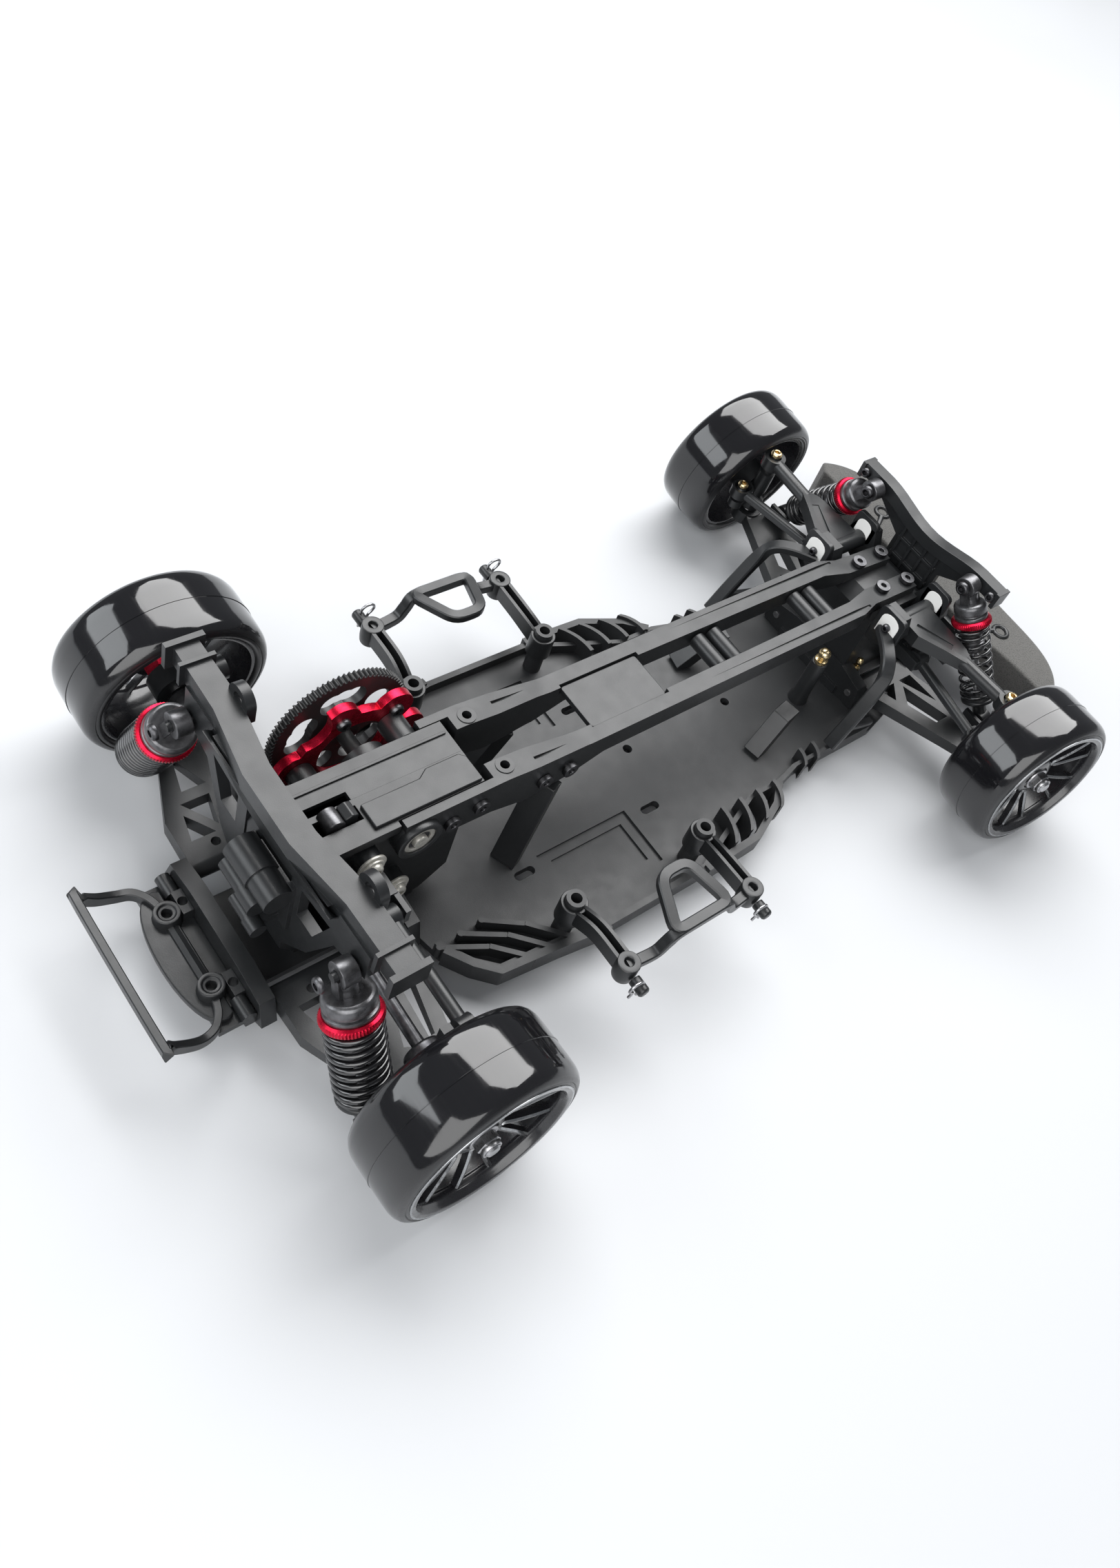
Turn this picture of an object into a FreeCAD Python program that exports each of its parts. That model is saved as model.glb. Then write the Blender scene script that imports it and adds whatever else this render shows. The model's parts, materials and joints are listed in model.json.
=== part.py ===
import FreeCAD, Part
import math
import os

# Rolling chassis of a 1/10 rear-wheel-drive drift car. Millimetres.
# +X is forward, +Y is left, +Z is up. The origin is on the ground, midway between the axles.
# Everything is built for the left side and mirrored for the right.

V = FreeCAD.Vector
X_AXIS = V(1, 0, 0)
Y_AXIS = V(0, 1, 0)
Z_AXIS = V(0, 0, 1)

# Driving dimensions
WHEELBASE = 257.0
REAR_X = -WHEELBASE / 2
FRONT_X = WHEELBASE / 2
REAR_HALF_TRACK = 85.5
FRONT_HALF_TRACK = 86.5
REAR_CAMBER = 3.7
FRONT_CAMBER = 6.0
TOE_OUT_LEFT = 2.0
TOE_OUT_RIGHT = 8.0

TYRE_R = 31.0
TYRE_HALF_W = 13.0
TREAD_HALF_W = 9.5
RIM_R = 25.4
RIM_WALL = 1.4
SPOKES = 6

PIN_R = 1.5
RUN = 0.05
OPEN_PIVOT = 0.3
STEER_PLAY = 0.8
SCREW_R = 1.5
HEAD_R = 2.8

DECK_BOTTOM = 5.0
DECK_TOP = 8.0
RIM_LIP_TOP = 12.0
SLOT_R = 1.6
SLOT_LENGTH = 8.0

TOP_SHAFT = (-103.0, 53.0)
IDLER_SHAFT = (-102.5, 31.43)
AXLE_SHAFT = (REAR_X, 33.0)
GEAR_MODULE = 0.8
PINION_TEETH = 14
IDLER_TEETH = 40
AXLE_TEETH = 25
SPUR_TEETH = 84
SPUR_MODULE = 0.54
CASE_HALF_W = 12.0
CASE_WALL = 2.0
CASE_TOP = 61.5
CASE_SCREWS = ((-119.0, 52.0), (-107.5, 31.0))
MOTOR_POSTS = ((-120.0, 49.5), (-90.5, 57.5), (-92.0, 40.0))
MOTOR_LOBES = ((-107.5, 66.0), (-89.0, 62.5), (-121.0, 50.5), (-82.5, 49.0))
PLATE_Y = 21.0
PLATE_T = 3.0

REAR_ARM_IN = (24.0, 13.5)
REAR_ARM_OUT = (72.0, 18.5)
REAR_LINK_OUT = V(-120.0, 68.5, 43.5)
REAR_LINK_IN = {"left": V(-132.0, 36.0, 44.0), "right": V(-120.0, 30.0, 44.0)}
TOWER_TOP = 73.0
TOWER_DIP = 4.2
FRONT_ARM_IN = (22.0, 14.0)
FRONT_UPPER_IN = (20.0, 50.7)
BUSH_SPANS = ((104.0, 108.0), (131.6, 134.4))
RAIL_SCREWS = ((-91.0, 52.0), (-81.0, 54.0), (-56.0, 50.5), (-46.0, 50.5))
MOUNT_X = (-59.0, -5.0)
COLLAR_X = (-59.3, -3.2)
COLLAR_Y = 46.7
POST_R = 3.3
POST_HOLE_R = 1.9
BUMPER_HOLE = (-163.5, 13.1)
LOWER_BALL = V(129.0, 72.0, 17.5)
UPPER_BALL = V(125.0, 68.5, 49.5)
STEER_BALL = V(114.5, 70.0, 35.3)
RACK_BALL = V(119.5, 31.7, 37.8)
BALL_R = 2.4

REAR_SHOCK_TOP = V(-145.5, 44.0, 61.0)
REAR_SHOCK_EYE = V(-145.5, 68.0, 14.0)
FRONT_SHOCK_TOP = V(133.0, 27.0, 69.0)
FRONT_SHOCK_EYE = V(140.0, 60.0, 22.0)
REAR_SHOCK = {"cap_start": 6.5, "cap": 7.7, "ring": 9.0, "spring": 8.5, "wall": 1.5}
FRONT_SHOCK = {"cap_start": 8.5, "cap": 6.3, "ring": 7.6, "spring": 6.8, "wall": 1.2}


# Small shape helpers
def box(x0, x1, y0, y1, z0, z1):
    return Part.makeBox(x1 - x0, y1 - y0, z1 - z0, V(x0, y0, z0))


def rod(a, b, r):
    return Part.makeCylinder(r, (b - a).Length, a, b - a)


def ball(centre, r):
    return Part.makeSphere(r, centre)


def fuse(shapes):
    return shapes[0].multiFuse(shapes[1:]).removeSplitter()


def cut(shape, tools):
    return shape.cut(Part.makeCompound(tools))


def mirrored(shape):
    return shape.mirror(V(0, 0, 0), Y_AXIS)


def pair(shape):
    return [shape, mirrored(shape)]


def face(points):
    return Part.Face(Part.makePolygon(points + [points[0]]))


def prism_xy(outline, z0, z1):
    return face([V(x, y, z0) for x, y in outline]).extrude(V(0, 0, z1 - z0))


def prism_xz(outline, y0, y1):
    return face([V(x, y0, z) for x, z in outline]).extrude(V(0, y1 - y0, 0))


def prism_yz(outline, x0, x1):
    return face([V(x0, y, z) for y, z in outline]).extrude(V(x1 - x0, 0, 0))


def bar(a, b, width, height):
    """A rectangular bar from a to b, its width level and its height across the run."""
    run = b - a
    level = run.cross(Z_AXIS).normalize() * (width / 2)
    rise = level.cross(run).normalize() * (height / 2)
    section = face([a + level + rise, a - level + rise, a - level - rise, a + level - rise])
    return section.extrude(run)


def plank(points, width, height):
    """Bars through a list of points, with a round joint at each bend."""
    parts = [bar(a, b, width, height) for a, b in zip(points, points[1:])]
    lift = Z_AXIS * (height / 2)
    parts += [rod(p - lift, p + lift, width / 2) for p in points[1:-1]]
    return fuse(parts)


def x_rod(x0, x1, y, z, r):
    return rod(V(x0, y, z), V(x1, y, z), r)


def y_rod(y0, y1, x, z, r):
    return rod(V(x, y0, z), V(x, y1, z), r)


def z_rod(z0, z1, x, y, r):
    return rod(V(x, y, z0), V(x, y, z1), r)


def bent_tube(points, r, bend):
    """Round tube along a path of straight runs joined by arcs."""
    edges = []
    start = points[0]
    for before, corner, after in zip(points, points[1:], points[2:]):
        back = (before - corner).normalize()
        ahead = (after - corner).normalize()
        into = corner + back * bend
        out = corner + ahead * bend
        turn = (math.pi - back.getAngle(ahead)) / 2
        radius = bend / math.tan(turn)
        inwards = (back + ahead).normalize()
        crown = corner + inwards * (radius / math.cos(turn) - radius)
        edges.append(Part.makeLine(start, into))
        edges.append(Part.Arc(into, crown, out).toShape())
        start = out
    edges.append(Part.makeLine(start, points[-1]))
    section = Part.Wire(Part.makeCircle(r, points[0], points[1] - points[0]))
    return Part.Wire(edges).makePipeShell([section], True, True)


def softened(shape, r, direction):
    """Round the straight edges that run along one direction."""
    edges = [e for e in shape.Edges if runs_along(e, direction)]
    return shape.makeFillet(r, edges)


def runs_along(edge, direction):
    if edge.Curve.TypeId != "Part::GeomLine":
        return False
    tangent = (edge.Vertexes[-1].Point - edge.Vertexes[0].Point).normalize()
    return tangent.cross(direction).Length < 0.001


def save(name, shapes):
    shape = shapes[0] if len(shapes) == 1 else Part.makeCompound(shapes)
    shape.exportStep("parts/" + name + ".step")


def save_pair(name, shapes):
    save(name + "_left", shapes)
    save(name + "_right", [mirrored(s) for s in shapes])


# Lower deck
def deck_outline():
    half = [(-101, 24), (-98.5, 35), (-93, 44), (-87, 50), (-63, 52), (-46, 55), (-2, 55), (12, 49),
            (34, 40.5), (50, 40.5), (60, 38), (104, 38), (120, 34), (124, 20)]
    return half + [(x, -y) for x, y in reversed(half)]


def shrunk(outline, by):
    length = 115.0
    width = 55.0
    return [(x * (1 - by / length), y * (1 - by / width)) for x, y in outline]


def gill(x, y, sweep, length, top, thick):
    """One vent blade: an arc in plan, standing on the deck edge."""
    start = V(x, y, DECK_BOTTOM)
    end = V(x - sweep, y + length, DECK_BOTTOM)
    middle = (start + end) * 0.5 + V(sweep * 0.35, -length * 0.05, 0)
    path = Part.Arc(start, middle, end)
    points = path.discretize(7)
    outer = [p + V(thick, 0, 0) for p in points]
    blade = face(points + list(reversed(outer))).extrude(V(0, 0, top - DECK_BOTTOM))
    return blade


def front_gills():
    rail = plank([V(-2, 55, 9), V(24, 54, 9), V(40, 47, 9), V(48, 40, 9)], 2.6, 8)
    blades = [gill(17 + 9 * i, 39, 5, 14 - 1.2 * i, 15.5 - 0.4 * i, 1.6) for i in range(4)]
    forward = [gill(64 + 7 * i, 33, 3, 7, 14, 1.5) for i in range(2)]
    return [rail] + blades + forward


def rear_gills():
    """Swept blades behind the side mount, from the floor out over the deck's edge."""
    blades = []
    for i in range(3):
        inner = V(-82 - 8.4 * i, 32.6 + 0.7 * i, 10)
        middle = V(-70.5 - 7.3 * i, 40.6 + 0.5 * i, 10.2)
        outer = V(-58.3 - 8.1 * i, 53.6 - 0.7 * i, 10.2)
        blades += [bar(inner, middle, 1.7, 5), bar(middle, outer, 1.7, 5.6)]
        blades.append(z_rod(7.5, 12.7, inner.x, inner.y, 1.1))
    edge = [V(-98, 35.5, 9), V(-92.5, 44, 9), V(-86.5, 50.2, 9), V(-64, 52.6, 9), V(-46, 55, 9)]
    rail = plank(edge, 2.6, 8)
    return [rail] + blades


def rear_pocket():
    """Sunk floor between the swept blades."""
    outline = [(-95, 37), (-90, 43.5), (-85, 47.8), (-64, 49), (-76, 38)]
    return prism_xy(outline, DECK_TOP - 1.4, DECK_TOP + 0.1)


def slot(x, y):
    reach = SLOT_LENGTH / 2 - SLOT_R
    ends = [z_rod(DECK_BOTTOM, DECK_TOP, x + s * reach, y, SLOT_R) for s in (1, -1)]
    return fuse([box(x - reach, x + reach, y - SLOT_R, y + SLOT_R, DECK_BOTTOM, DECK_TOP)] + ends)


def deck():
    outline = deck_outline()
    inside = shrunk(outline, 2.2)
    slab = prism_xy(outline, DECK_BOTTOM, DECK_TOP)
    lip = cut(prism_xy(outline, DECK_TOP - 1, RIM_LIP_TOP), [prism_xy(inside, DECK_TOP, RIM_LIP_TOP)])
    slab = cut(slab, pair(rear_pocket()))
    trims = []
    for shape in front_gills() + rear_gills():
        trims += pair(shape)
    posts = []
    for x in COLLAR_X:
        posts += pair(z_rod(DECK_BOTTOM, 28.7, x, COLLAR_Y, POST_R))
    body = fuse([slab, lip] + posts + trims)
    recess = box(-50, -11, 20.5, 43, DECK_TOP - 1, DECK_TOP + 1)
    inner_recess = box(-46, -15, 24, 40, DECK_TOP - 1.8, DECK_TOP)
    slots = []
    for x in (-57.3, -1.6):
        slots += pair(slot(x, 24))
    holes = [z_rod(DECK_BOTTOM, DECK_TOP, x, 0, 1.8) for x in (7, 56.8)]
    holes += [box(-110, -96, -32, 32, DECK_TOP, 20), box(101.9, 130, -60, 60, DECK_TOP, 20)]
    for x in COLLAR_X:
        holes += pair(z_rod(DECK_TOP, 29, x, COLLAR_Y, POST_HOLE_R))
    return cut(body, pair(recess) + pair(inner_recess) + slots + holes)


# Upper deck
def rail():
    side = [(-108, 47), (-108, 61.5), (-72, 61.5), (-58, 60), (-38, 57.6), (92, 57.4), (108, 56), (129, 54.7),
            (129, 51), (103, 51), (98, 49.5), (-30, 48.6), (-42, 44), (-62, 43), (-75, 46)]
    plan = [(-108, 12.3), (-108, 15.2), (-60, 15.2), (-40, 14.3), (94, 14.3), (103, 11.8), (129, 11.4),
            (129, 4), (104, 4.4), (92, 7), (-34, 8), (-44, 8), (-60, 7), (-76, 7), (-76, 12.3)]
    body = prism_xz(side, 0, 20).common(prism_xy(plan, 40, 70))
    groove = bar(V(-60, 11.6, 59.6), V(100, 11.6, 56.9), 1.0, 1.6)
    shelf = box(-34, -1, 6, 9.2, 54.2, 60)
    post = z_rod(50, 61.8, -70.4, 10.2, 3)
    body = fuse([body, post])
    boss_gap = [y_rod(10, 18, TOP_SHAFT[0], TOP_SHAFT[1], 7.5), box(-115, -102, 10, 18, 40, TOP_SHAFT[1])]
    tools = [groove, shelf, z_rod(55, 62, -70.4, 10.2, SCREW_R)] + boss_gap
    tools += [z_rod(50, 58, x, y, SCREW_R) for x, y in ((111.9, 6.8), (126.0, 7.6))]
    return cut(body, tools)


def tray():
    plate = softened(box(-33.5, -1.5, -8.9, 8.9, 54.4, 56.6), 1.2, Z_AXIS)
    stem = [box(x - 2, x + 2, -6.8, 6.8, 51, 54.4) for x in (-28, -8)]
    return fuse([plate] + stem)


def deck_spacers():
    tubes = [y_rod(-6.85, 6.85, x, 53, 3) for x in (27, 34.5, 76, 83.5)]
    bridge = [box(x, x + 7.5, -6.85, 6.85, 50.5, 52) for x in (27, 76)]
    joined = [fuse([tubes[0], tubes[1], bridge[0]]), fuse([tubes[2], tubes[3], bridge[1]])]
    rear = bar(V(-60, 16, DECK_TOP - 0.4), V(-50, 12, 43.4), 9, 5)
    rear = rear.common(box(-80, -30, 5, 25, DECK_TOP, 43))
    front = bar(V(51, 23.5, DECK_TOP - 0.4), V(66, 20.5, 25), 7, 6)
    front = front.common(box(30, 90, 5, 30, DECK_TOP, 23))
    return joined + pair(rear) + pair(front)


# Gearbox and drive
def case_outline(inset):
    """Side outline of the gearbox, drawn smaller by the inset."""
    back, front, waist = -141.5 + inset, -79 - inset, -83 - inset
    top, bottom = CASE_TOP - inset, 10 + inset
    return [(back, 16), (back, 52), (-137 + inset, top), (front, top), (front, 50), (waist, 44), (waist, 18),
            (-92 - inset / 2, bottom), (-137 + inset / 2, bottom)]


def case_half():
    """Left half of the gearbox: a hollow shell open on the centre plane."""
    shell = prism_xz(case_outline(0), 0, CASE_HALF_W)
    hollow = prism_xz(case_outline(CASE_WALL), -1, CASE_HALF_W - CASE_WALL)
    shell = shell.cut(hollow)
    feet = box(-136, -94, 0, CASE_HALF_W, DECK_TOP, 10.5)
    shell = fuse([shell, feet])
    shell = fuse([shell, y_rod(CASE_HALF_W - 4, 15.5, TOP_SHAFT[0], TOP_SHAFT[1], 7.4)])
    top = y_rod(0, 20, TOP_SHAFT[0], TOP_SHAFT[1], 5)
    idler = y_rod(0, 11, IDLER_SHAFT[0], IDLER_SHAFT[1], 2 + RUN)
    axle = y_rod(0, 20, AXLE_SHAFT[0], AXLE_SHAFT[1], 8)
    return cut(shell, [top, idler, axle])


def case_right():
    half = mirrored(case_half())
    bosses = [y_rod(-16.5, 1 - CASE_HALF_W, x, z, 4) for x, z in CASE_SCREWS]
    ledge = box(-133, -109, -14, 1 - CASE_HALF_W, 58, CASE_TOP)
    window = box(-132, -117, -7, -CASE_WALL, 55, 62)
    return cut(fuse([half] + bosses + [ledge]), [window])


def case_left():
    half = case_half()
    window = box(-132, -117, -CASE_WALL, 3, 55, 62)
    posts = [y_rod(CASE_HALF_W, 20.9, x, z, 4.3) for x, z in MOTOR_POSTS]
    return cut(fuse([half] + posts), [window])


def motor_plate():
    """Crown-shaped plate with a window round the top shaft."""
    x, z = TOP_SHAFT
    y0, y1 = PLATE_Y, PLATE_Y + PLATE_T
    discs = [y_rod(y0, y1, x, z - 4, 18.5)]
    discs += [y_rod(y0, y1, a, b, 6.2) for a, b in MOTOR_LOBES]
    scallops = [y_rod(y0, y1, a, b, 7.5) for a, b in ((-97.5, 75.5), (-118.5, 66.5))]
    window = [y_rod(y0, y1, x + 0.5, z - 2, 11.5)]
    holes = [y_rod(y0, y1, a, b, SCREW_R) for a, b in MOTOR_LOBES[:2]]
    return cut(fuse(discs), scallops + window + holes)


def gear(centre, teeth, module, y0, y1, phase, fill):
    """Straight-flanked spur gear; phase is the direction of one tooth, in degrees."""
    r_tip = module * (teeth / 2 + 0.8)
    r_root = module * (teeth / 2 - 1.1)
    pitch = 2 * math.pi / teeth
    outline = []
    for i in range(teeth):
        middle = math.radians(phase) + i * pitch
        for r, share in ((r_root, -0.33), (r_tip, -0.13), (r_tip, 0.13), (r_root, 0.33)):
            angle = middle + share * pitch * fill
            outline.append((centre[0] + r * math.cos(angle), centre[1] + r * math.sin(angle)))
    return prism_xz(outline, y0, y1)


def towards(a, b):
    return math.degrees(math.atan2(b[1] - a[1], b[0] - a[0]))


def meshing_phase(driver, driver_teeth, driver_phase, driven, driven_teeth):
    """Phase that puts a gap of the driven gear where the driver has a tooth."""
    line = towards(driver, driven)
    driver_pitch = 360.0 / driver_teeth
    driven_pitch = 360.0 / driven_teeth
    share = ((line - driver_phase) / driver_pitch) % 1.0
    return line + 180.0 + (share + 0.5) * driven_pitch


def spur():
    """Top shaft, its pinion inside the gearbox and the big open-spoked gear outside."""
    x, z = TOP_SHAFT
    idler_phase = towards(IDLER_SHAFT, TOP_SHAFT)
    phase = meshing_phase(IDLER_SHAFT, IDLER_TEETH, idler_phase, TOP_SHAFT, PINION_TEETH)
    pinion = gear(TOP_SHAFT, PINION_TEETH, GEAR_MODULE, -4, 4, phase, 1.0)
    shaft = y_rod(-14.6, 33.5, x, z, 2.5)
    disc = gear(TOP_SHAFT, SPUR_TEETH, SPUR_MODULE, 27.5, 30.5, 0, 1.0)
    windows = []
    for i in range(5):
        a = math.radians(72 * i + 20)
        for step in (-14, 0, 14):
            b = a + math.radians(step)
            windows.append(y_rod(27, 31, x + 14.2 * math.cos(b), z + 14.2 * math.sin(b), 4.2))
    hub = y_rod(25.8, 32, x, z, 6.5)
    return fuse([pinion, shaft, hub, cut(disc, windows)])


def idler():
    x, z = IDLER_SHAFT
    toothed = gear(IDLER_SHAFT, IDLER_TEETH, GEAR_MODULE, -4.5, 4.5, towards(IDLER_SHAFT, TOP_SHAFT), 1.0)
    return fuse([toothed, y_rod(-9.5, 9.5, x, z, 2)])


def spool():
    """Locked rear axle: one gear with an outdrive cup on each side."""
    idler_phase = towards(IDLER_SHAFT, TOP_SHAFT)
    phase = meshing_phase(IDLER_SHAFT, IDLER_TEETH, idler_phase, AXLE_SHAFT, AXLE_TEETH)
    toothed = gear(AXLE_SHAFT, AXLE_TEETH, GEAR_MODULE, -4, 4, phase, 1.0)
    x, z = AXLE_SHAFT
    body = fuse([toothed] + pair(y_rod(3, 22.5, x, z, 6)))
    return cut(body, pair(y_rod(13, 23, x, z, 3.6)))


def drive_shaft():
    inner = V(REAR_X, 18.5, AXLE_SHAFT[1])
    outer = V(REAR_X, 66.0, 30.3)
    return fuse([ball(inner, 3.2), ball(outer, 3.2), rod(inner, outer, 2)])


# Rear suspension block, bumper and body beam
def rear_block():
    """Base plate and two cross plates that carry the lower hinge pins, plus the upper link clevises."""
    base = box(-156, -101.1, -16, 16, DECK_BOTTOM, 7.9)
    outline = [(-29, 9), (-26, 19), (-14, 21), (14, 21), (26, 19), (29, 9), (22, 5), (-22, 5)]
    plates = [prism_yz(outline, x0, x1) for x0, x1 in ((-156, -151), (-106.5, -102))]
    bores = pair(x_rod(-157, -101, REAR_ARM_IN[0], REAR_ARM_IN[1], PIN_R))
    relief = box(-151, -88, -CASE_HALF_W - 0.05, CASE_HALF_W + 0.05, 7.9, 30)
    return cut(fuse([base] + plates), bores + [relief])


def link_clevis(side):
    """Fork on the gearbox wall for the inner end of an upper link, drawn on the left."""
    pivot = REAR_LINK_IN[side]
    x, y, z = pivot
    block = box(x - 5, x + 5, CASE_HALF_W, y - 4.5, z - 3, z + 3.4)
    ears = [box(x + a, x + b, y - 5, y + 2.2, z - 3, z + 3) for a, b in ((-5, -2.8), (3.6, 5.4))]
    return fuse([block] + ears + [x_rod(x - 5, x + 5.4, y, z, PIN_R)])


def beam_web():
    """Shock tower plate under the beam, notched round the gearbox."""
    outline = [(-48, 60), (-48, 71), (48, 71), (48, 60), (34, 55), (24, 34), (13, 22), (-13, 22), (-24, 34),
               (-34, 55)]
    web = prism_yz(outline, -142, -138.6)
    notch = box(-150, -130, -CASE_HALF_W - 0.1, CASE_HALF_W + 0.1, 20, CASE_TOP + 0.1)
    windows = pair(prism_yz([(17, 45), (17, 58), (31, 60), (25, 45)], -145, -135))
    return cut(web, [notch] + windows)


def adjuster_barrels():
    """Stepped round bosses behind the tower, each on a short stem from the gearbox notch's edge."""
    rows = (((-147.0, 52.5), ((-15, -6, 4.6), (-6, 6, 5.2))),
            ((-149.5, 44.0), ((-10, -3, 3.6), (-3, 7, 3.0))),
            ((-150.5, 36.0), ((-13, -8, 2.6), (-8, 0, 2.2))))
    shapes = []
    for (x, z), steps in rows:
        shapes += [y_rod(y0, y1, x, z, r) for y0, y1, r in steps]
        shapes.append(box(x, -141.6, steps[0][0] + 2, steps[1][1] - 2, z - 1.4, z + 1.4))
    shapes.append(box(-143.4, -141.6, -13, 8, 34, 53))
    shapes.append(box(-143.4, -139, -15, -12.2, 34, 56))
    return shapes


def body_beam():
    half = [(-145, 0), (-145, 12), (-141.5, 34), (-141, 58), (-133.5, 58), (-133.5, 34), (-137, 12),
            (-137, 0)]
    half_beam = prism_xy(half, 70, 77)
    cap = box(-143.5, -131.5, 57, 59, 69, 78.4)
    flange = box(-143.0, -132.0, 49.8, 51.2, 69.5, 78.2)
    hoop_disc = x_rod(-134.5, -131.5, 33.7, 77.5, 5)
    waist = prism_yz([(0, 66), (0, 71), (30, 71), (14, 66)], -143.5, -138)
    hoop_hole = x_rod(-136, -130, 33.7, 78, 2.2)
    side = fuse([half_beam, cap, flange, waist])
    tab = cut(fuse([hoop_disc, box(-134.5, -131.5, 28.7, 38.7, 72, 77.5)]), [hoop_hole])
    solid = fuse(pair(side) + pair(tab) + [beam_web()] + adjuster_barrels())
    pin = []
    for s in (1, -1):
        pin.append(x_rod(-149.5, -138.6, s * REAR_SHOCK_TOP.y, REAR_SHOCK_TOP.z, PIN_R))
    return fuse([solid] + pin)


def bumper_bracket():
    """Hinge-like block bolted behind the rear suspension plate."""
    base = box(-167, -156.1, -25, 25, 8.5, 11)
    block = box(-159.4, -156.1, 10.9, 18.9, 11, 16)
    hinge = y_rod(18.9, 26, -158.4, 13.2, 2.3)
    arm = box(-159.4, -156.1, 11.5, 26, 8.5, 12)
    shaped = fuse([base] + pair(block) + pair(hinge) + pair(arm))
    holes = pair(z_rod(8, 17, -157.7, 14.9, SCREW_R)) + pair(z_rod(8, 12, *BUMPER_HOLE, SCREW_R))
    return cut(shaped, holes)


def bumper():
    """Raised pad, round bosses and a bar loop that rises behind the car."""
    pad = [(-163, 23), (-161, 21), (-161, -21), (-163, -23), (-167, -21), (-170.8, -12), (-172, 0),
           (-170.8, 12), (-167, 21)]
    raised = prism_xy(pad, 11.05, 13.6)
    groove = box(-165.6, -164.2, -9, 9, 12.9, 14)
    bosses = pair(z_rod(11.05, 17.3, *BUMPER_HOLE, 4))
    left = [V(-164, 19, 12.9), V(-168.5, 26, 12.9), V(-176, 26.4, 14), V(-184.2, 25, 23.2)]
    loop = left + [V(p.x, -p.y, p.z) for p in reversed(left)]
    solid = fuse([raised, bent_tube(loop, 1.8, 2.6)] + bosses)
    return cut(solid, pair(z_rod(10, 18, *BUMPER_HOLE, SCREW_R)) + [groove])


# Front end
def bulkhead():
    """Front gearbox-shaped block: base, tower foot, rail seats and the upper hinge brackets."""
    base = box(102, 142, -17, 17, DECK_TOP + 0.05, 12)
    side = [(104, 12), (104, 47), (110, 50.9), (131, 50.9), (136, 48), (138.8, 40), (138.8, 12)]
    core = prism_xz(side, -14, 14)
    rack_gap = box(111, 126, -16, 16, 33.5, 42)
    lower_plates = []
    for x0, x1 in ((103, 108.5), (134.5, 140)):
        outline = [(-27, 9), (-25, 19), (-13, 22), (13, 22), (25, 19), (27, 9), (20, 5.5), (-20, 5.5)]
        lower_plates.append(prism_yz(outline, x0, x1).common(box(100, 145, -30, 30, 8.05, 30)))
    brackets = []
    for x0, x1 in ((104.5, 110), (129.2, 133.8)):
        outline = [(12, 40), (12, 50.9), (15, 58), (24, 58), (26.5, 51), (24, 43), (18, 40)]
        brackets += pair(prism_yz(outline, x0, x1))
    nose = box(138.8, 160, -13, 13, 12, 18)
    nose_plate = box(157, 160, -30, 30, 12, 30)
    solid = fuse([base, core, nose, nose_plate] + lower_plates + brackets)
    tools = [rack_gap]
    tools += pair(x_rod(100, 145, FRONT_ARM_IN[0], FRONT_ARM_IN[1], PIN_R))
    tools += pair(x_rod(100, 136, FRONT_UPPER_IN[0], FRONT_UPPER_IN[1], PIN_R))
    for x0, x1 in BUSH_SPANS:
        tools += pair(prism_yz(bush_outline(), x0, x1))
    return cut(solid, tools)


def bush_outline():
    y, z = FRONT_UPPER_IN
    return [(y - 3.4, z - 4.5), (y - 3.4, z + 3), (y - 1.5, z + 5), (y + 1.5, z + 5), (y + 3.4, z + 3),
            (y + 3.4, z - 4.5), (y, z - 6)]


def bushes():
    shapes = []
    for x0, x1 in BUSH_SPANS:
        shape = prism_yz(bush_outline(), x0, x1)
        shape = cut(shape, [x_rod(100, 136, FRONT_UPPER_IN[0], FRONT_UPPER_IN[1], PIN_R)])
        shapes += pair(shape)
    return shapes


def tower_top(y):
    """Height of the tower's top edge: level at its ends, lower between the shocks."""
    return TOWER_TOP - TOWER_DIP * (0.5 + 0.5 * math.cos(math.pi * min(1.0, abs(y) / 27)))


def front_tower():
    """Upright plate with a bowed block along its top."""
    ys = [38 - 4 * i for i in range(20)]
    crest = [(y, tower_top(y)) for y in ys]
    block = prism_yz(crest + [(y, z - 5.6) for y, z in reversed(crest)], 136.9, 142.4)
    leg = [(-12, 41), (-12, 57), (-31, 67.6), (-37.6, 67.6), (-37.6, 69), (0, 64), (37.6, 69),
           (37.6, 67.6), (31, 67.6), (12, 57), (12, 41)]
    plate = prism_yz(leg, 138.9, 142)
    ribs = [box(137.8, 139, y - 0.6, y + 0.6, 46, tower_top(y) - 5) for y in (-9, -3, 3, 9)]
    ribs += [box(137.8, 139, -10, 10, z - 0.6, z + 0.6) for z in (50, 58)]
    ends = pair(box(136.2, 143, 36.6, 38.4, 66, 73))
    foot = box(138.9, 142, -12, 12, 22.1, 44)
    pins = pair(x_rod(129.6, 137, FRONT_SHOCK_TOP.y, FRONT_SHOCK_TOP.z, PIN_R))
    return fuse([plate, block, foot] + ribs + ends + pins)


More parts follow.
